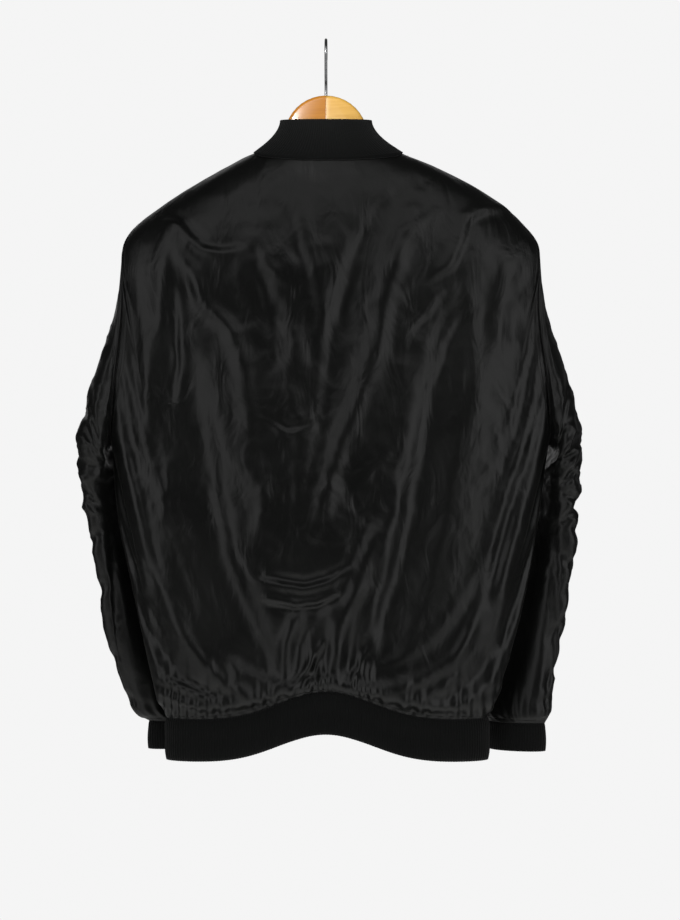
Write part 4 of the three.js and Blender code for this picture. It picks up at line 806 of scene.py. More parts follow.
# %% Creases of the sleeves
# angle 0 is the outer side, 90 the back, -90 the front
SLEEVE_CREASES = {
    "left": (
        (2.6, 60, 0.25, 50, 0.20, -4), (3.1, 20, -0.2, 45, 0.18, -5), (3.4, 90, 0.3, 55, 0.20, -5),
        (3.8, 45, -0.35, 50, 0.17, 4), (4.2, 10, 0.3, 50, 0.18, -6), (4.4, 100, -0.3, 50, 0.20, -5),
        (4.8, 60, 0.3, 45, 0.16, 4), (5.2, 15, -0.4, 45, 0.17, -5), (5.5, 95, 0.35, 55, 0.18, -5),
        (5.9, 50, -0.3, 40, 0.16, 3), (6.3, 5, 0.35, 45, 0.17, -4), (6.8, 80, -0.4, 50, 0.18, -4),
        (7.4, 30, 0.3, 45, 0.18, -3.5), (8.1, 75, -0.35, 50, 0.20, -4), (8.9, 20, 0.4, 45, 0.18, -3.5),
        (9.7, 70, -0.3, 50, 0.18, -3.5), (10.4, 10, 0.3, 50, 0.18, -3), (4.5, -80, 0.3, 55, 0.20, -5),
        (5.6, -120, -0.3, 50, 0.20, -5), (6.6, -70, 0.3, 50, 0.20, -4), (8.4, -100, -0.4, 55, 0.20, -4),
        (9.9, -60, 0.3, 50, 0.20, -4), (7.6, 160, 0.2, 50, 0.2, -3), (10.8, 120, 0.2, 50, 0.16, -3),
    ),
    "right": (
        (2.3, 50, 0.3, 50, 0.18, -4), (2.8, 90, -0.35, 50, 0.18, -5), (3.2, 30, 0.35, 45, 0.16, -6),
        (3.5, 75, 0.4, 45, 0.14, 5), (3.8, 115, -0.4, 45, 0.16, -6), (4.0, 45, -0.4, 40, 0.15, -6),
        (4.3, 85, 0.4, 40, 0.14, 5), (4.6, 15, 0.4, 45, 0.15, -6), (4.8, 110, 0.4, 45, 0.15, -6),
        (5.0, 60, -0.45, 40, 0.14, -6), (5.3, 25, 0.4, 40, 0.14, 4), (5.5, 90, -0.4, 45, 0.15, -6),
        (5.8, 50, 0.45, 40, 0.14, -5), (6.1, 100, 0.4, 45, 0.15, -5), (6.2, 10, -0.4, 45, 0.16, -5),
        (6.6, 65, -0.4, 45, 0.15, -5), (7.1, 30, 0.45, 45, 0.16, -4), (7.4, 95, -0.4, 50, 0.16, -4),
        (7.9, 55, 0.5, 50, 0.16, -4), (8.5, 15, -0.5, 50, 0.17, -4), (8.8, 85, 0.5, 50, 0.17, -4),
        (9.4, 45, -0.5, 50, 0.17, -4), (10.0, 80, 0.4, 50, 0.17, -4), (10.5, 20, 0.4, 45, 0.16, -3),
        (4.5, -80, 0.3, 55, 0.20, -5), (5.4, -120, -0.3, 50, 0.20, -5), (6.4, -70, 0.3, 50, 0.20, -5),
        (8.2, -100, -0.4, 55, 0.20, -4), (9.7, -60, 0.3, 50, 0.20, -4), (10.8, 130, 0.2, 50, 0.16, -3),
    ),
}


def crease_height(rows, t, angle):
    total = np.zeros_like(t)
    for at, turn, slant, reach, width, height in rows:
        off = np.arctan2(np.sin(angle - math.radians(turn)), np.cos(angle - math.radians(turn)))
        along = (t - at - slant * off) / width
        total += height * np.exp(-along**2 - (off / math.radians(reach)) ** 2)
    return total


# Spare cloth under the arm: how far it stands out, where round the sleeve and where along its rings
UNDERARM_TUCK, UNDERARM_TUCK_TURN, UNDERARM_TUCK_AT = 13, 0.6, 4.2
BESIDE_BODY = 7


def outer_side(angle):
    """1 on the outer side of a sleeve, small on the side that lies along the body."""
    return np.clip(1.2 + np.cos(angle), 0.2, 1)


def sleeve_net(name):
    """Points and outward directions of a sleeve, from the armhole seam down to the cuff seam."""
    side = 1 if name == "left" else -1
    angle = np.arange(SLEEVE_AROUND) / SLEEVE_AROUND * 2 * np.pi
    face = np.where(np.sin(angle) >= 0, 1, -1)
    folded = np.arccos(np.cos(angle))
    seam = np.empty((SLEEVE_AROUND, 3))
    for f in (1, -1):
        way, z = armhole_edge(f, side, folded, 0.4)
        seam[face == f] = body_point(f, way, z)[face == f]
    seam[:, 0] += side * HALF_SEAM
    t = np.linspace(0, LAST_RING, SLEEVE_DOWN)
    middle, across, back, wide, deep = ring_at(name, t)
    a, tt = np.meshgrid(angle, t)
    end = LAST_RING - tt
    lift = 0.6 * np.clip(tt / 1.6, 0, 1) * np.clip(end / 1.2, 0, 1) * outer_side(a) * crease_height(SLEEVE_CREASES[name], tt, a)
    pleat = np.sin(21 * a + 2 * np.sin(3 * a + side)) * (0.7 + 0.3 * np.sin(5 * a))
    lift += 2.2 * pleat * np.exp(-(((end - 0.95) / 0.7) ** 2)) * np.clip(end / 0.4, 0, 1)
    tucked = np.exp(-(((a - np.pi - UNDERARM_TUCK_TURN) / 0.4) ** 2) - ((tt - UNDERARM_TUCK_AT) / 1.0) ** 2)
    reach = np.hypot(wide[:, None] * np.cos(a), deep[:, None] * np.sin(a))
    size = 1 + (lift + UNDERARM_TUCK * tucked) / reach
    spoke = (across[:, None] * (wide[:, None] * np.cos(a) * size)[..., None]
             + back[:, None] * (deep[:, None] * np.sin(a) * size)[..., None])
    beside = np.exp(-(((a - np.pi - 0.5) / 0.4) ** 2) - ((tt - 2.9) / 1.3) ** 2)
    spoke[..., 0] -= side * BESIDE_BODY * beside
    rows = np.concatenate([seam[None], middle[:, None] + spoke])
    middles = np.concatenate([middle[:1], middle])
    return rows, unit(rows - middles[:, None])


def sleeve_lift(name):
    """Height of the listed creases at each point of a sleeve's net."""
    a, t = np.meshgrid(np.arange(SLEEVE_AROUND) / SLEEVE_AROUND * 2 * np.pi, np.linspace(0, LAST_RING, SLEEVE_DOWN))
    fade = np.clip(t / 1.6, 0, 1) * np.clip((LAST_RING - t) / 1.2, 0, 1) * outer_side(a)
    lift = fade * crease_height(SLEEVE_CREASES[name], t, a)
    return np.concatenate([np.zeros((1, SLEEVE_AROUND)), lift])


# %% Making both sleeves
SLEEVE_LENGTHEN, SLEEVE_CRUMPLE = 1.05, 2.6
sleeves, sleeve_nets = {}, {}
for name in ("left", "right"):
    points, facing = sleeve_net(name)
    sleeve = net_object("sleeve_cloth_" + name, points, closed=True, outwards=facing)
    middle = points.mean(axis=1, keepdims=True)
    cut = middle + (points - middle) * 1.03
    cut[..., 2] = UNDERARM_Z + (cut[..., 2] - UNDERARM_Z) * SLEEVE_LENGTHEN
    pins = np.full(points.shape[:2], 0.03)
    pins[:2], pins[-3:] = 1.0, 1.0
    hang(sleeve, cut, pins.ravel(), facing, swing=6)
    hung = coordinates(sleeve.data).reshape(points.shape) / MM
    drift = (hung - points).mean(axis=1, keepdims=True)
    loose = outer_side(np.arange(SLEEVE_AROUND) / SLEEVE_AROUND * 2 * np.pi)[None, :, None]
    hung = points + (hung - drift - points) * loose + 0.7 * facing * sleeve_lift(name)[..., None]
    sleeve.data.vertices.foreach_set("co", (hung * MM).astype(np.float32).ravel())
    sleeve.data.update()
    sleeve_area = area_of(np.concatenate([cut, cut[:, :1]], axis=1))
    sleeve_nets[name] = points
    refined(sleeve)
    p = coordinates(sleeve.data) / MM
    far = seam_distance(sleeve)
    outer = np.clip((np.abs(p[:, 0]) - 262) / 14, 0.15, 1) if name == "right" else np.clip((np.abs(p[:, 0]) - 250) / 14, 0.15, 1)
    elbow = 0.45 + 0.55 * np.exp(-(((p[:, 2] + 520) / 90) ** 2))
    push_out(sleeve, outer * elbow * np.clip(far / 16, 0, 1) * SLEEVE_CRUMPLE * crumple(p, (40, 46, 22), 5.3 if name == "left" else 8.9))
    sleeves[name] = (thicken(sleeve, refine=0), sleeve_area)
    print(sleeve.name, len(sleeve.data.polygons), "faces, cut of", round(sleeve_area, 3), "square metres")

# %% [markdown]
# Collar, hem band and cuffs are rib knit. In rib knit, columns of stitches stand up in turn on the right
# and on the wrong side, so the band is corded and stretches. The ribs repeat along the band, which suits
# Geometry Nodes: one tree raises the outer points by a rounded wave of the distance along the band.

# %% A tree that raises ribs
RIB_PITCH = 3.4 * MM
RIB_RISE = 0.75 * MM

rib_tree = bpy.data.node_groups.new("raise_ribs", "GeometryNodeTree")
rib_tree.is_modifier = True
rib_tree.interface.new_socket("Band", in_out="INPUT", socket_type="NodeSocketGeometry")
for label, kind, value in (("Pitch", "NodeSocketFloat", RIB_PITCH), ("Rise", "NodeSocketFloat", RIB_RISE)):
    socket = rib_tree.interface.new_socket(label, in_out="INPUT", socket_type=kind)
    socket.default_value = value
rib_tree.interface.new_socket("Knit", in_out="INPUT", socket_type="NodeSocketMaterial")
rib_tree.interface.new_socket("Ribbed", in_out="OUTPUT", socket_type="NodeSocketGeometry")
given = add(rib_tree, "NodeGroupInput")
along = add(rib_tree, "GeometryNodeInputNamedAttribute", values={"Name": "along"}, data_type="FLOAT")
turns = add(rib_tree, "ShaderNodeMath", {0: along.outputs["Attribute"], 1: given.outputs["Pitch"]}, operation="DIVIDE")
angle = add(rib_tree, "ShaderNodeMath", {0: turns.outputs[0]}, {1: math.pi}, operation="MULTIPLY")
wave = add(rib_tree, "ShaderNodeMath", {0: angle.outputs[0]}, operation="SINE")
rounded = add(rib_tree, "ShaderNodeMath", {0: wave.outputs[0]}, operation="ABSOLUTE")
fade = add(rib_tree, "GeometryNodeInputNamedAttribute", values={"Name": "rib_fade"}, data_type="FLOAT")
faded = add(rib_tree, "ShaderNodeMath", {0: rounded.outputs[0], 1: fade.outputs["Attribute"]}, operation="MULTIPLY")
rise = add(rib_tree, "ShaderNodeMath", {0: faded.outputs[0], 1: given.outputs["Rise"]}, operation="MULTIPLY")
facing_node = add(rib_tree, "GeometryNodeInputNormal")
offset = add(rib_tree, "ShaderNodeVectorMath", {0: facing_node.outputs["Normal"], "Scale": rise.outputs[0]}, operation="SCALE")
moved = add(rib_tree, "GeometryNodeSetPosition", {"Geometry": given.outputs["Band"], "Offset": offset.outputs[0]})
single = add(rib_tree, "GeometryNodeRealizeInstances", {"Geometry": moved.outputs[0]})
coloured = add(rib_tree, "GeometryNodeSetMaterial", {"Geometry": single.outputs[0], "Material": given.outputs["Knit"]})
add(rib_tree, "NodeGroupOutput", {"Ribbed": coloured.outputs[0]})


def socket_id(tree, label):
    """Identifier of a named input of a tree, which is what a modifier is set by."""
    return next(i.identifier for i in tree.interface.items_tree if i.name == label and i.in_out == "INPUT")


def ribbed(piece, along_values, fade_values, knit, pitch=RIB_PITCH, rise=RIB_RISE, wall=2.2 * MM):
    """Raises ribs on a band whose points carry their distance along it, then gives it a wall."""
    for label, values in (("along", along_values), ("rib_fade", fade_values)):
        attribute = piece.data.attributes.new(label, "FLOAT", "POINT")
        attribute.data.foreach_set("value", np.asarray(values, np.float32).ravel())
    ribs = piece.modifiers.new("ribs", "NODES")
    ribs.node_group = rib_tree
    for label, value in (("Pitch", pitch), ("Rise", rise), ("Knit", knit)):
        ribs[socket_id(rib_tree, label)] = value
    plain_mesh(piece)
    return thicken(piece, wall, refine=0)


print("rib tree with", len(rib_tree.nodes), "nodes")

# %% [markdown]
# The knit itself is matt: its loops scatter the light, and only a soft sheen is left where fibres stand
# up along the edge of each rib. The colour is a near black that varies a little in fine random fuzz.

# %% Rib knit, black acrylic and wool
def finish(name, rough, base=None):
    """A new material with its shader, roughness set on the shader's own socket."""
    made = bpy.data.materials.new(name)
    made.use_nodes = True
    shader = made.node_tree.nodes["Principled BSDF"]
    shader.inputs["Roughness"].default_value = rough
    if base:
        shader.inputs["Base Color"].default_value = linear(base)
    return made, made.node_tree, shader


STITCH_ROW = 1.6
knit, tree, shader = finish("black_rib_knit", 0.88)
cloth_uv = add(tree, "ShaderNodeUVMap", uv_map="cloth")
in_mm = add(tree, "ShaderNodeMapping", {"Vector": cloth_uv.outputs["UV"]}, {"Scale": (1000, 1000, 1000)})
loops = add(tree, "ShaderNodeTexWave", {"Vector": in_mm.outputs["Vector"]},
            {"Scale": 1 / STITCH_ROW / 3.2, "Distortion": 1.2, "Detail": 1.0, "Detail Scale": 2.0}, bands_direction="Y")
fuzz = add(tree, "ShaderNodeTexNoise", {"Vector": in_mm.outputs["Vector"]}, {"Scale": 1.4, "Detail": 4.0})
shade = add(tree, "ShaderNodeMix", {0: fuzz.outputs["Fac"]}, data_type="RGBA")
shade.inputs["A"].default_value = linear("050606")
shade.inputs["B"].default_value = linear("0D0F0E")
tree.links.new(shade.outputs["Result"], shader.inputs["Base Color"])
height = add(tree, "ShaderNodeMath", {0: loops.outputs["Fac"], 1: fuzz.outputs["Fac"]}, operation="ADD")
bump = add(tree, "ShaderNodeBump", {"Height": height.outputs[0]}, {"Strength": 0.35, "Distance": 0.0004})
tree.links.new(bump.outputs["Normal"], shader.inputs["Normal"])
shader.inputs["Sheen Weight"].default_value = 0.12
shader.inputs["Sheen Roughness"].default_value = 0.5
shader.inputs["Specular IOR Level"].default_value = 0.25
print("material", knit.name)

# %% [markdown]
# The hem band is a strip of rib folded double and sewn to the gathered body. It hangs below the seam,
# level at the sides and lifted in the middle of the back, and stops at the zip in front.

# %% The hem band
HEM_AROUND, HEM_DOWN = 1320, 12


def hem_band_net():
    end = float(way_at(FRONT_EDGE_X / half_width(1, ZIP_HEM_Z)))
    quarter = np.linspace(0, 4, HEM_AROUND + 1)
    face = np.where((quarter > 1) & (quarter < 3), 1, -1)
    way = np.where(quarter <= 1, end + (1 - end) * quarter,
                   np.where(quarter < 3, 2 - quarter, -(1 + (end - 1) * (quarter - 3))))
    top, facing = np.empty((len(way), 3)), np.empty((len(way), 3))
    for f in (1, -1):
        z = hem_edge(f, way)[1]
        p = body_point(f, way, z)
        n = body_normal(f, p)
        at = p + n * -HEM_TUCK
        level = unit(n * (1, 1, 0))
        top[face == f], facing[face == f] = at[face == f], level[face == f]
    t = np.linspace(0, 1, HEM_DOWN + 1)
    swell = 2.5 * np.sin(np.pi * t) + 0.6 * np.sin(3 * np.pi * t)
    rows = top[None] + facing[None] * (swell + 0.4)[:, None, None]
    rows[..., 2] -= (t * (HEM_BAND_HEIGHT + 1.4) - 1.0)[:, None]
    wander = 1.2 * np.sin(quarter * 5.1) + 0.9 * np.sin(quarter * 11.7 + 1)
    rows += facing[None] * (wander[None] * np.sin(np.pi * t * 0.9)[:, None])[..., None]
    return rows, np.broadcast_to(facing, rows.shape)


points, facing = hem_band_net()
hem_band = net_object("rib_hem_band", points, outwards=facing)
run = np.concatenate([[0], np.cumsum(np.linalg.norm(np.diff(points[0], axis=0), axis=1))]) * MM
fade = np.clip(np.minimum(np.arange(HEM_DOWN + 1), 99) / 1.0, 0.35, 1)
ribbed(hem_band, np.broadcast_to(run, points.shape[:2]), np.broadcast_to(fade[:, None], points.shape[:2]), knit)

# %% [markdown]
# The collar stands up from the neck seam and leans in to the neck. Its top edge is folded, so it is round
# and thick, and its corners at the zip are softly rounded. Behind, its weight rolls it a little way down
# over the seam, so its lower edge makes a shallow bow.

# %% The collar
COLLAR_TOP = {"half_width": 57, "back_y": 38, "front_y": 43, "z": -99, "back_dip": 4, "front_drop": 66}
COLLAR_FLARE, COLLAR_GAP, COLLAR_END_X, COLLAR_LAP = 1.8, 1.3, 1.5, 7
COLLAR_AROUND, COLLAR_UP = 640, 16

share = np.linspace(0, 1, COLLAR_AROUND + 1)
side = np.where(share <= 0.5, 1, -1)
turn = np.abs(1 - 2 * share) * np.where(side > 0, front_turn(1, COLLAR_END_X), front_turn(-1, COLLAR_END_X))
way, z = neck_edge(side, turn)
cos = np.cos(turn)
lapped = COLLAR_LAP * np.clip(cos, 0, 1) ** 0.7
bottom = np.where((turn <= np.pi / 2)[:, None], body_point(1, way, z - lapped), body_point(-1, way, z))
bottom[:, 1] += 1.9 * np.clip(3 * cos, 0, 1)
bottom[:, 2] += COLLAR_GAP
top_x = side * np.maximum(COLLAR_TOP["half_width"] * np.sin(turn), np.where(turn > np.pi / 2, COLLAR_END_X, 0))
top_y = np.where(cos > 0, COLLAR_TOP["back_y"] * np.maximum(cos, 0) ** 0.85, -COLLAR_TOP["front_y"] * np.maximum(-cos, 0) ** 0.85)
top_z = COLLAR_TOP["z"] - np.where(cos > 0, COLLAR_TOP["back_dip"] * cos, COLLAR_TOP["front_drop"] * np.maximum(-cos, 0) ** 1.4)
top = np.stack([top_x, top_y, top_z], -1)
t = np.linspace(0, 1, COLLAR_UP + 1)[:, None, None]
inward = 1 - (1 - t) ** COLLAR_FLARE
points = np.concatenate([bottom[None, :, :2] * (1 - inward) + top[None, :, :2] * inward,
                         bottom[None, :, 2:] * (1 - t) + top[None, :, 2:] * t], -1)
facing = unit(points * (1, 1, 0) + (0, 0, 0.001))
collar = net_object("rib_collar", points, outwards=facing)
middle_row = points[COLLAR_UP // 2]
run = np.concatenate([[0], np.cumsum(np.linalg.norm(np.diff(middle_row, axis=0), axis=1))]) * MM
fade = np.clip(np.arange(COLLAR_UP + 1) / 2, 0.0, 1)
ribbed(collar, np.broadcast_to(run, points.shape[:2]), np.broadcast_to(fade[:, None], points.shape[:2]), knit, pitch=3.0 * MM, rise=0.5 * MM)

# %% [markdown]
# A cuff grips the end of the gathered sleeve. It is short and narrow, and empty here, so it hangs as a
# flattened ring.

# %% The cuffs
CUFF_HEIGHT, CUFF_AROUND, CUFF_DOWN = 35, 400, 10
cuffs = {}
for name, side in (("left", 1), ("right", -1)):
    middle, across, back_way, wide, deep = (v[0] for v in ring_at(name, np.array([float(LAST_RING)])))
    angle = np.arange(CUFF_AROUND) / CUFF_AROUND * 2 * np.pi
    t = np.linspace(0, 1, CUFF_DOWN + 1)
    size = (0.985 + 0.03 * np.sin(np.pi * t))[:, None] * (1 + 0.012 * np.sin(3 * angle + 4 * t[:, None]))
    spoke = across * (wide * np.cos(angle))[:, None] + back_way * (deep * np.sin(angle))[:, None]
    points = middle + size[..., None] * spoke[None]
    points[..., 2] = middle[2] - 0.4 - t[:, None] * CUFF_HEIGHT
    facing = np.broadcast_to(unit(spoke), points.shape)
    cuff = net_object("rib_cuff_" + name, points, closed=True, outwards=facing)
    steps = np.linalg.norm(np.roll(points[5], -1, 0) - points[5], axis=1)
    run = np.concatenate([[0], np.cumsum(steps)])[:-1] * MM
    ribs = round(float(steps.sum()) * MM / RIB_PITCH)
    fade = np.clip(np.arange(CUFF_DOWN + 1) / 1.0, 0.35, 1)
    ribbed(cuff, np.broadcast_to(run, points.shape[:2]), np.broadcast_to(fade[:, None], points.shape[:2]), knit,
           pitch=float(steps.sum()) * MM / ribs)
    cuffs[name] = (cuff, float(steps.sum()) * MM)
    print(cuff.name, ribs, "ribs,", len(cuff.data.polygons), "faces")
# %% [markdown]
# The zip runs from the hem to the neck between two woven tapes. Each tape is stitched behind the edge of
# its front, and carries a row of small metal teeth that lock into the other row. The teeth repeat along
# the tape's edge, so a tree of Geometry Nodes sets one tooth at each step of a line down the middle.

# %% Zip tapes
TAPE_SETBACK, TAPE_THICKNESS, TAPE_INNER_X, TAPE_OUTER_X = 4.3, 1.0, 0.5, 14
TAPE_ROWS = 150


def zip_line(z):
    """Outer face of the fronts at the zip, at heights z."""
    low = np.maximum(np.asarray(z, float), ZIP_HEM_Z)
    p = body_point(-1, 0 * low, low)
    n = body_normal(-1, p)
    return p + n * panel_lift(-1, p, 0 * low)[..., None]


zip_top, zip_bottom = NECK_Z - NECK_FRONT_DROP - 2, ZIP_HEM_Z - HEM_BAND_HEIGHT + 1
tape_z = np.linspace(zip_top, zip_bottom, TAPE_ROWS)
tape_y = zip_line(tape_z)[:, 1] - 0.2 + TAPE_SETBACK
tapes = {}
for name, side in (("left", 1), ("right", -1)):
    xs = side * np.linspace(TAPE_INNER_X + 0.4, TAPE_OUTER_X, 5)
    points = np.stack(np.broadcast_arrays(xs[None], tape_y[:, None], tape_z[:, None]), -1)
    tape = net_object("zip_tape_cloth_" + name, points, outwards=np.broadcast_to((0, -1.0, 0), points.shape))
    tapes[name] = thicken(tape, TAPE_THICKNESS * 0.8 * MM, refine=0)
print("tapes", round((zip_top - zip_bottom) / 1000, 3), "m long")

# %% Zip teeth by Geometry Nodes
TOOTH_STEP = 2.6
ZIP_CLOSED_TO = -226


def flat_line(name, points):
    """A mesh of points joined in a row, for trees that follow a line."""
    mesh = bpy.data.meshes.new(name)
    mesh.from_pydata((np.asarray(points) * MM).tolist(), [(k, k + 1) for k in range(len(points) - 1)], [])
    made = bpy.data.objects.new(name, mesh)
    bpy.context.scene.collection.objects.link(made)
    return made


def follow_tree(name, piece_of):
    """A tree that sets a small piece at each step of a line, turned along it."""
    tree = bpy.data.node_groups.new(name, "GeometryNodeTree")
    tree.is_modifier = True
    tree.interface.new_socket("Line", in_out="INPUT", socket_type="NodeSocketGeometry")
    for label, kind in (("Step", "NodeSocketFloat"), ("Length", "NodeSocketFloat"), ("Width", "NodeSocketFloat"),
                        ("Depth", "NodeSocketFloat"), ("Stuff", "NodeSocketMaterial")):
        tree.interface.new_socket(label, in_out="INPUT", socket_type=kind)
    tree.interface.new_socket("Row", in_out="OUTPUT", socket_type="NodeSocketGeometry")
    given = add(tree, "NodeGroupInput")
    curve = add(tree, "GeometryNodeMeshToCurve", {"Mesh": given.outputs["Line"]})
    spaced = add(tree, "GeometryNodeCurveToPoints", {"Curve": curve.outputs[0], "Length": given.outputs["Step"]}, mode="LENGTH")
    piece = piece_of(tree, given)
    row = add(tree, "GeometryNodeInstanceOnPoints",
              {"Points": spaced.outputs["Points"], "Instance": piece, "Rotation": spaced.outputs["Rotation"]})
    single = add(tree, "GeometryNodeRealizeInstances", {"Geometry": row.outputs[0]})
    stuff = add(tree, "GeometryNodeSetMaterial", {"Geometry": single.outputs[0], "Material": given.outputs["Stuff"]})
    add(tree, "NodeGroupOutput", {"Row": stuff.outputs[0]})
    return tree


def block_piece(tree, given):
    """A small block, its length along the line."""
    size = add(tree, "ShaderNodeCombineXYZ", {"X": given.outputs["Width"], "Y": given.outputs["Depth"], "Z": given.outputs["Length"]})
    return add(tree, "GeometryNodeMeshCube", {"Size": size.outputs[0]}).outputs["Mesh"]


def thread_piece(tree, given):
    """A short round length of thread, lying along the line."""
    body = add(tree, "GeometryNodeMeshIcoSphere", values={"Radius": 0.5, "Subdivisions": 1})
    size = add(tree, "ShaderNodeCombineXYZ", {"X": given.outputs["Width"], "Y": given.outputs["Depth"], "Z": given.outputs["Length"]})
    return add(tree, "GeometryNodeTransform", {"Geometry": body.outputs["Mesh"], "Scale": size.outputs[0]}).outputs[0]


def follow(name, points, tree, step, length, width, depth, stuff):
    """One row of small pieces along a line of points, as a plain mesh."""
    row = flat_line(name, points)
    nodes = row.modifiers.new("row", "NODES")
    nodes.node_group = tree
    for label, value in (("Step", step), ("Length", length), ("Width", width), ("Depth", depth)):
        nodes[socket_id(tree, label)] = value * MM
    nodes[socket_id(tree, "Stuff")] = stuff
    return plain_mesh(row)


# %% [markdown]
# The zip is burnished metal, dark grey and half polished by use. A metal has no colour of its own under
# its reflections, so the base colour is the reflection itself; fine noise in the roughness gives the
# handled look.

# %% Burnished zip metal
zip_metal, tree, shader = finish("burnished_zip_metal", 0.36, "4A4A4C")
shader.inputs["Metallic"].default_value = 1.0
spot = add(tree, "ShaderNodeTexCoord")
worn = add(tree, "ShaderNodeTexNoise", {"Vector": spot.outputs["Object"]}, {"Scale": 900.0, "Detail": 3.0})
rub = add(tree, "ShaderNodeMapRange", {"Value": worn.outputs["Fac"]}, {"To Min": 0.25, "To Max": 0.5})
tree.links.new(rub.outputs[0], shader.inputs["Roughness"])
tint = add(tree, "ShaderNodeMix", {0: worn.outputs["Fac"]}, data_type="RGBA")
tint.inputs["A"].default_value, tint.inputs["B"].default_value = linear("333335"), linear("5C5B5A")
tree.links.new(tint.outputs["Result"], shader.inputs["Base Color"])

tooth_tree = follow_tree("zip_teeth", block_piece)
teeth = []
tooth_z = np.linspace(ZIP_CLOSED_TO, zip_bottom + 2, 260)
tooth_y = zip_line(tooth_z)[:, 1] - 0.2 + TAPE_SETBACK - 0.9
for name, side, start in (("left", 1, 0.0), ("right", -1, TOOTH_STEP / 2)):
    line = np.stack([0 * tooth_z + side * 1.1, tooth_y, tooth_z - start], -1)
    row = follow("zip_teeth_" + name, line, tooth_tree, TOOTH_STEP, 1.25, 1.9, 2.6, zip_metal)
    teeth.append(row)
print("teeth on each side", len(teeth[0].data.polygons) // 6)
# %% [markdown]
# The slider and its pull tab are die-cast, so their edges are never sharp. Each takes the shape of its
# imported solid, with the loose triangles merged and the edges rounded by a small bevel.

# %% Slider and pull tab
def rounded_copy(node, name, width, stuff, weight=None):
    """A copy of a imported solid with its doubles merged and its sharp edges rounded."""
    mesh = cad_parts[node].data.copy()
    made = bpy.data.objects.new(name, mesh)
    bpy.context.scene.collection.objects.link(made)
    net = bmesh.new()
    net.from_mesh(mesh)
    bmesh.ops.remove_doubles(net, verts=net.verts, dist=1e-6)
    bmesh.ops.dissolve_limit(net, angle_limit=math.radians(0.5), verts=net.verts, edges=net.edges)
    if weight:
        layer = net.edges.layers.float.new("bevel_weight_edge")
        for edge in net.edges:
            edge[layer] = weight(edge)
    net.to_mesh(mesh)
    net.free()
    bevel = made.modifiers.new("rounded_edges", "BEVEL")
    bevel.width, bevel.segments = width, 3
    bevel.limit_method = "WEIGHT" if weight else "ANGLE"
    bevel.angle_limit = math.radians(35)
    plain_mesh(made)
    made.data.shade_auto_smooth() if hasattr(made.data, "shade_auto_smooth") else None
    made.data.materials.clear()
    made.data.materials.append(stuff)
    return made


slider = rounded_copy("zip_slider", "zip_slider_body", 0.35 * MM, zip_metal)
pull = rounded_copy("zip_pull", "zip_pull_tab", 0.4 * MM, zip_metal)
print("slider", len(slider.data.polygons), "faces, pull", len(pull.data.polygons), "faces")

# %% [markdown]
# The hanger is two shaped boards of a light hardwood, butted in the middle and varnished. The two halves
# come from different planks: one is a deeper orange with a dark streak of grain, the other paler. Long
# stretched noise along the arm gives the grain, and a clear coat gives the varnish.

# %% Varnished light hardwood
def wood(name, pale, deep, streak):
    made, tree, shader = finish(name, 0.42)
    spot = add(tree, "ShaderNodeTexCoord")
    long = add(tree, "ShaderNodeMapping", {"Vector": spot.outputs["Object"]}, {"Scale": (14.0, 30.0, 150.0), "Rotation": (0, 0.10, 0)})
    grain = add(tree, "ShaderNodeTexNoise", {"Vector": long.outputs["Vector"]},
                {"Scale": 1.0, "Detail": 6.0, "Roughness": 0.62, "Distortion": 0.7})
    fine_map = add(tree, "ShaderNodeMapping", {"Vector": spot.outputs["Object"]}, {"Scale": (60.0, 500.0, 900.0)})
    pores = add(tree, "ShaderNodeTexNoise", {"Vector": fine_map.outputs["Vector"]}, {"Scale": 1.0, "Detail": 2.0})
    both = add(tree, "ShaderNodeMath", {0: pores.outputs["Fac"], 2: grain.outputs["Fac"]}, {1: 0.22}, operation="MULTIPLY_ADD")
    tint = add(tree, "ShaderNodeValToRGB", {"Fac": both.outputs[0]})
    stops = tint.color_ramp.elements
    stops[0].position, stops[0].color = 0.34, linear(streak)
    stops[1].position, stops[1].color = 0.72, linear(pale)
    stops.new(0.50).color = linear(deep)
    tree.links.new(tint.outputs["Color"], shader.inputs["Base Color"])
    bump = add(tree, "ShaderNodeBump", {"Height": pores.outputs["Fac"]}, {"Strength": 0.12, "Distance": 0.0003})
    tree.links.new(bump.outputs["Normal"], shader.inputs["Normal"])
    shader.inputs["Coat Weight"].default_value = 0.25
    shader.inputs["Coat Roughness"].default_value = 0.18
    return made


wood_pale = wood("varnished_wood_pale", "FAC45E", "F0B64C", "E2A23C")
wood_deep = wood("varnished_wood_deep", "DB9026", "CF8320", "8A4A12")


def board_edges(edge):
    """Full rounding on the rim, nearly none where the halves butt and none on the small flats."""
    if len(edge.link_faces) != 2 or edge.calc_face_angle(0) < math.radians(35):
        return 0.0
    if max(abs(v.co.x) for v in edge.verts) < 1 * MM:
        return 0.06
    near_stem = all(math.hypot(v.co.x, v.co.y) < 3 * MM for v in edge.verts)
    return 0.0 if near_stem else 1.0


arms = {}
for name, stuff in (("left", wood_deep), ("right", wood_pale)):
    arms[name] = rounded_copy("hanger_arm_" + name, "wooden_arm_" + name, 4.2 * MM, stuff, board_edges)
    print(arms[name].name, len(arms[name].data.polygons), "faces")

# %% [markdown]
# The hook is one length of bright nickel-plated steel wire, bent to a round hook and set in the wood. Its
# polish is nearly a mirror, with faint drawing marks along the wire.

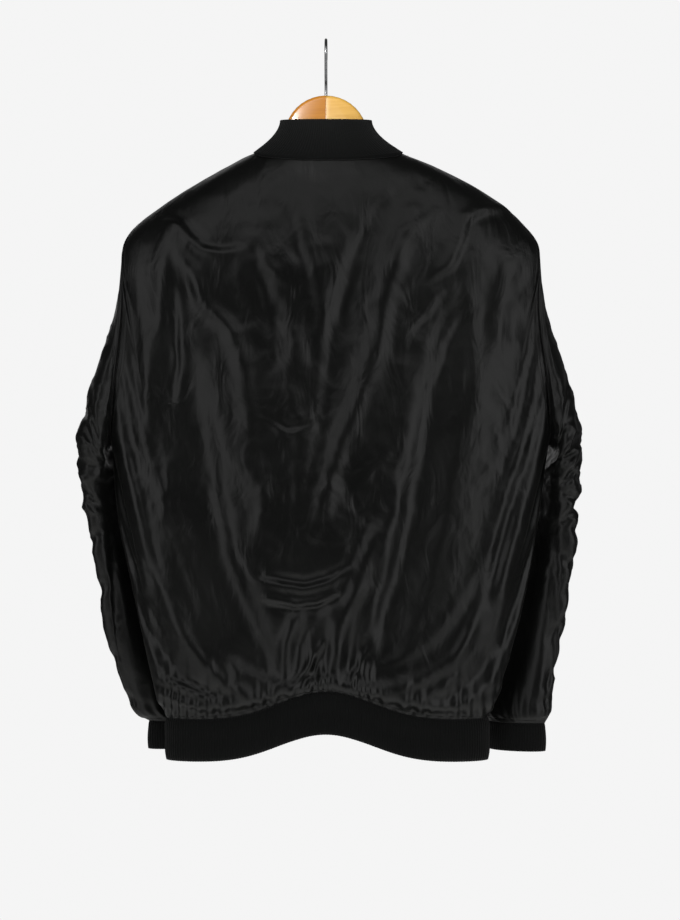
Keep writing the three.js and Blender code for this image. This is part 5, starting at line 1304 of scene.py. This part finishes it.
# %% Steel wire
steel, tree, shader = finish("nickel_plated_steel_wire", 0.2, "B4B6B8")
shader.inputs["Metallic"].default_value = 1.0
spot = add(tree, "ShaderNodeTexCoord")
drawn = add(tree, "ShaderNodeTexNoise", {"Vector": spot.outputs["Object"]}, {"Scale": 700.0, "Detail": 2.0})
rub = add(tree, "ShaderNodeMapRange", {"Value": drawn.outputs["Fac"]}, {"To Min": 0.14, "To Max": 0.34})
tree.links.new(rub.outputs[0], shader.inputs["Roughness"])
tint = add(tree, "ShaderNodeMix", {0: drawn.outputs["Fac"]}, data_type="RGBA")
tint.inputs["A"].default_value, tint.inputs["B"].default_value = linear("9C9EA0"), linear("C2C3C4")
tree.links.new(tint.outputs["Result"], shader.inputs["Base Color"])

WIRE_RADIUS, HOOK_RADIUS, ARCH_TOP_Z, STEM_DEPTH = 1.8, 18, -68, 24
WIRE_SIDES, WIRE_STEPS = 18, 110


def smooth_path(points, count):
    """Evenly read points of a smooth curve through the given ones."""
    p = np.array(points, float)
    p = np.concatenate([2 * p[:1] - p[1:2], p, 2 * p[-1:] - p[-2:-1]])
    t = np.linspace(0, len(points) - 1, count)
    i = np.minimum(np.floor(t).astype(int), len(points) - 2)
    f = (t - i)[:, None]
    a, b, c, d = p[i], p[i + 1], p[i + 2], p[i + 3]
    return 0.5 * (2 * b + (c - a) * f + (2 * a - 5 * b + 4 * c - d) * f**2 + (3 * b - a - 3 * c + d) * f**3)


wire_points = [(0, 0, ARCH_TOP_Z - STEM_DEPTH), (0, 0, ARCH_TOP_Z + 2), (0, 1.5, ARCH_TOP_Z + 12), (0, 9, ARCH_TOP_Z + 24)]
for k in range(11):
    turn_angle = -0.35 + k / 10 * (math.pi + 0.7)
    wire_points.append((0, HOOK_RADIUS * math.cos(turn_angle), WIRE_RADIUS - HOOK_RADIUS + HOOK_RADIUS * math.sin(turn_angle)))
path = smooth_path(wire_points, WIRE_STEPS)
tangent = unit(np.gradient(path, axis=0))
side_way = np.broadcast_to((1.0, 0, 0), path.shape)
up_way = np.cross(tangent, side_way)
ring = np.arange(WIRE_SIDES) / WIRE_SIDES * 2 * np.pi
radius = WIRE_RADIUS * np.ones(WIRE_STEPS)
radius[-4:] = WIRE_RADIUS * np.array([0.96, 0.85, 0.62, 0.3])
tube = path[:, None] + radius[:, None, None] * (np.cos(ring)[None, :, None] * side_way[:, None] + np.sin(ring)[None, :, None] * up_way[:, None])
hook = net_object("wire_hook", tube, closed=True, outwards=tube - path[:, None])
net = bmesh.new()
net.from_mesh(hook.data)
bmesh.ops.holes_fill(net, edges=[e for e in net.edges if e.is_boundary], sides=0)
net.to_mesh(hook.data)
net.free()
hook.data.materials.append(steel)
print("hook", len(hook.data.polygons), "faces")

# %% [markdown]
# The shell is nylon taffeta, plain woven from flat glossy yarns and pressed between hot rollers. That
# gives a dark satin surface: each fold carries a soft bright streak and falls off to near black. The
# threads are a third of a millimetre apart, too fine for the picture, so the weave is drawn at 1.1 mm.

# %% Black nylon taffeta
THREAD = 1.1
nylon, tree, shader = finish("calendered_nylon_taffeta", 0.34)
cloth_uv = add(tree, "ShaderNodeUVMap", uv_map="cloth")
in_mm = add(tree, "ShaderNodeMapping", {"Vector": cloth_uv.outputs["UV"]}, {"Scale": (1000, 1000, 1000)})
warp = add(tree, "ShaderNodeTexWave", {"Vector": in_mm.outputs["Vector"]}, {"Scale": 1 / THREAD / 3.2, "Distortion": 0.4}, bands_direction="X")
weft = add(tree, "ShaderNodeTexWave", {"Vector": in_mm.outputs["Vector"]}, {"Scale": 1 / THREAD / 3.2, "Distortion": 0.4}, bands_direction="Y")
weave = add(tree, "ShaderNodeMath", {0: warp.outputs["Fac"], 1: weft.outputs["Fac"]}, operation="MULTIPLY")
spot = add(tree, "ShaderNodeTexCoord")
crinkle_map = add(tree, "ShaderNodeMapping", {"Vector": spot.outputs["Object"]}, {"Scale": (34.0, 22.0, 17.0)})
crinkle = add(tree, "ShaderNodeTexNoise", {"Vector": crinkle_map.outputs["Vector"]},
              {"Scale": 1.0, "Detail": 2.5, "Roughness": 0.5, "Distortion": 0.9})
patches = add(tree, "ShaderNodeTexNoise", {"Vector": spot.outputs["Object"]}, {"Scale": 9.0, "Detail": 3.0, "Distortion": 0.6})
tint = add(tree, "ShaderNodeMix", {0: patches.outputs["Fac"]}, data_type="RGBA")
tint.inputs["A"].default_value, tint.inputs["B"].default_value = linear("0B0C0C"), linear("131412")
tree.links.new(tint.outputs["Result"], shader.inputs["Base Color"])
gloss = add(tree, "ShaderNodeMapRange", {"Value": patches.outputs["Fac"]}, {"From Min": 0.3, "From Max": 0.7, "To Min": 0.3, "To Max": 0.4})
tree.links.new(gloss.outputs[0], shader.inputs["Roughness"])
seam_gap = add(tree, "ShaderNodeAttribute", attribute_name="seam")
seam_share = add(tree, "ShaderNodeMapRange", {"Value": seam_gap.outputs["Fac"]}, {"From Max": 20.0})
seam_shape = add(tree, "ShaderNodeValToRGB", {"Fac": seam_share.outputs[0]})
ramp = seam_shape.color_ramp.elements
ramp[0].position, ramp[0].color = 0.0, (0.35, 0.35, 0.35, 1)
ramp[1].position, ramp[1].color = 0.42, (0.55, 0.55, 0.55, 1)
for position, level in ((0.04, 0.9), (0.20, 1.0), (0.245, 0.30), (0.29, 0.55)):
    ramp.new(position).color = (level, level, level, 1)
fine_bump = add(tree, "ShaderNodeBump", {"Height": weave.outputs[0]}, {"Strength": 0.25, "Distance": 0.00012})
fold_bump = add(tree, "ShaderNodeBump", {"Height": crinkle.outputs["Fac"], "Normal": fine_bump.outputs["Normal"]}, {"Strength": 0.5, "Distance": 0.004})
seam_bump = add(tree, "ShaderNodeBump", {"Height": seam_shape.outputs["Color"], "Normal": fold_bump.outputs["Normal"]}, {"Strength": 0.6, "Distance": 0.0009})
tree.links.new(seam_bump.outputs["Normal"], shader.inputs["Normal"])
shader.inputs["Specular IOR Level"].default_value = 0.5
shader.inputs["Sheen Weight"].default_value = 0.08
shader.inputs["Sheen Roughness"].default_value = 0.35
for piece in (back, fronts["left"][0], fronts["right"][0], sleeves["left"][0], sleeves["right"][0]):
    piece.data.materials.clear()
    piece.data.materials.append(nylon)
print("material", nylon.name)

# %% [markdown]
# The zip's tape is a matt black twill. The weave's slanting ribs are drawn as bands across the tape.

# %% Woven zip tape
twill, tree, shader = finish("woven_zip_tape", 0.8)
cloth_uv = add(tree, "ShaderNodeUVMap", uv_map="cloth")
in_mm = add(tree, "ShaderNodeMapping", {"Vector": cloth_uv.outputs["UV"]}, {"Scale": (1000, 1000, 1000), "Rotation": (0, 0, 0.8)})
bands = add(tree, "ShaderNodeTexWave", {"Vector": in_mm.outputs["Vector"]}, {"Scale": 0.3, "Distortion": 0.3})
tint = add(tree, "ShaderNodeMix", {0: bands.outputs["Fac"]}, data_type="RGBA")
tint.inputs["A"].default_value, tint.inputs["B"].default_value = linear("0B0C0C"), linear("171818")
tree.links.new(tint.outputs["Result"], shader.inputs["Base Color"])
bump = add(tree, "ShaderNodeBump", {"Height": bands.outputs["Fac"]}, {"Strength": 0.5, "Distance": 0.0003})
tree.links.new(bump.outputs["Normal"], shader.inputs["Normal"])
for tape in tapes.values():
    tape.data.materials.clear()
    tape.data.materials.append(twill)

# %% [markdown]
# The seams are sewn with black polyester thread, three millimetres to the stitch. A row runs beside each
# armhole on the body, under the collar and down both sides of the zip. The rows are
# laid on the finished cloth: each point of the seam line is set on the nearest cloth and lifted a little.

# %% Sewing thread
STITCH_LENGTH, STITCH_STEP = 2.5, 3.2
thread, tree, shader = finish("black_polyester_thread", 0.55)
spot = add(tree, "ShaderNodeTexCoord")
ply = add(tree, "ShaderNodeTexWave", {"Vector": spot.outputs["Object"]}, {"Scale": 500.0, "Distortion": 1.0})
tint = add(tree, "ShaderNodeMix", {0: ply.outputs["Fac"]}, data_type="RGBA")
tint.inputs["A"].default_value, tint.inputs["B"].default_value = linear("141414"), linear("2A2A28")
tree.links.new(tint.outputs["Result"], shader.inputs["Base Color"])
stitch_tree = follow_tree("stitches", thread_piece)


def on_cloth(piece, points, lift):
    """Sets points on the nearest place of a piece, lifted off it."""
    cloth_tree = BVHTree.FromPolygons([v.co for v in piece.data.vertices], [p.vertices[:] for p in piece.data.polygons])
    laid = []
    for p in points:
        hit, normal, _, _ = cloth_tree.find_nearest(Vector(p) * MM)
        if normal.dot((Vector(p) * MM) - Vector((0, 0, p[2] * MM))) < 0:
            normal = -normal
        laid.append((hit + normal * lift * MM) / MM)
    return np.array([tuple(v) for v in laid])


def panel_line(face, way, z):
    """A line on the outer face of the body, from ways round and heights."""
    p = body_point(face, way, z)
    return p + body_normal(face, p) * 1.0


seam_rows = []
for name, side in (("left", 1), ("right", -1)):
    angle = np.linspace(0.12, np.pi - 0.1, 150)
    for face, piece in ((1, back), (-1, fronts[name][0])):
        way, z = armhole_edge(face, side, angle, shrink=-5.0)
        line = on_cloth(piece, panel_line(face, np.clip(way, -0.995, 0.995), z), 0.25)
        seam_rows.append(follow(f"armhole_stitches_{name}_{'back' if face > 0 else 'front'}", line, stitch_tree,
                                STITCH_STEP, STITCH_LENGTH, 0.55, 0.45, thread))
    down = np.linspace(-232, ZIP_HEM_Z + 6, 260)
    line = on_cloth(fronts[name][0], panel_line(-1, side * way_at(12.5 / half_width(side, down)), down), 0.25)
    seam_rows.append(follow("zip_stitches_" + name, line, stitch_tree, STITCH_STEP, STITCH_LENGTH, 0.55, 0.45, thread))
turn = np.linspace(-np.pi / 2 + 0.05, np.pi / 2 - 0.05, 160)
way, z = neck_edge(np.where(turn < 0, -1, 1), np.abs(turn))
line = on_cloth(back, panel_line(1, way, z - 4.5), 0.25)
seam_rows.append(follow("neck_stitches", line, stitch_tree, STITCH_STEP, STITCH_LENGTH, 0.55, 0.45, thread))
print("rows of stitches", len(seam_rows), "with", sum(len(r.data.polygons) for r in seam_rows), "faces")

# %% [markdown]
# Every piece now takes the place of the imported solid it stands for, which is hidden, and moves with
# its body. The pull tab swings on the slider; all the rest is one body.

# %% Handing the pieces to the frame
STANDS_FOR = (
    (back, "back", "nylon"), (fronts["left"][0], "front_left", "nylon"), (fronts["right"][0], "front_right", "nylon"),
    (sleeves["left"][0], "sleeve_left", "nylon"), (sleeves["right"][0], "sleeve_right", "nylon"),
    (collar, "collar", "rib_knit"), (hem_band, "hem_band", "rib_knit"),
    (cuffs["left"][0], "cuff_left", "rib_knit"), (cuffs["right"][0], "cuff_right", "rib_knit"),
    (tapes["left"], "zip_tape_left", "zip_tape"), (tapes["right"], "zip_tape_right", "zip_tape"),
    (slider, "zip_slider", "zip_metal"), (pull, "zip_pull", "zip_metal"),
    (arms["left"], "hanger_arm_left", "light_wood"), (arms["right"], "hanger_arm_right", "light_wood"),
    (hook, "hanger_hook", "steel_wire"),
)
for piece, node, slot_name in STANDS_FOR:
    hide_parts(node)
    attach(piece, PULL if piece is pull else JACKET)
for piece in teeth:
    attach(piece, JACKET)
for piece in seam_rows:
    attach(piece, JACKET)

# %% Flat cuts of the cloth
for name in ("left", "right"):
    front, front_area = fronts[name]
    sleeve, sleeve_area = sleeves[name]
    cuff, cuff_length = cuffs[name]
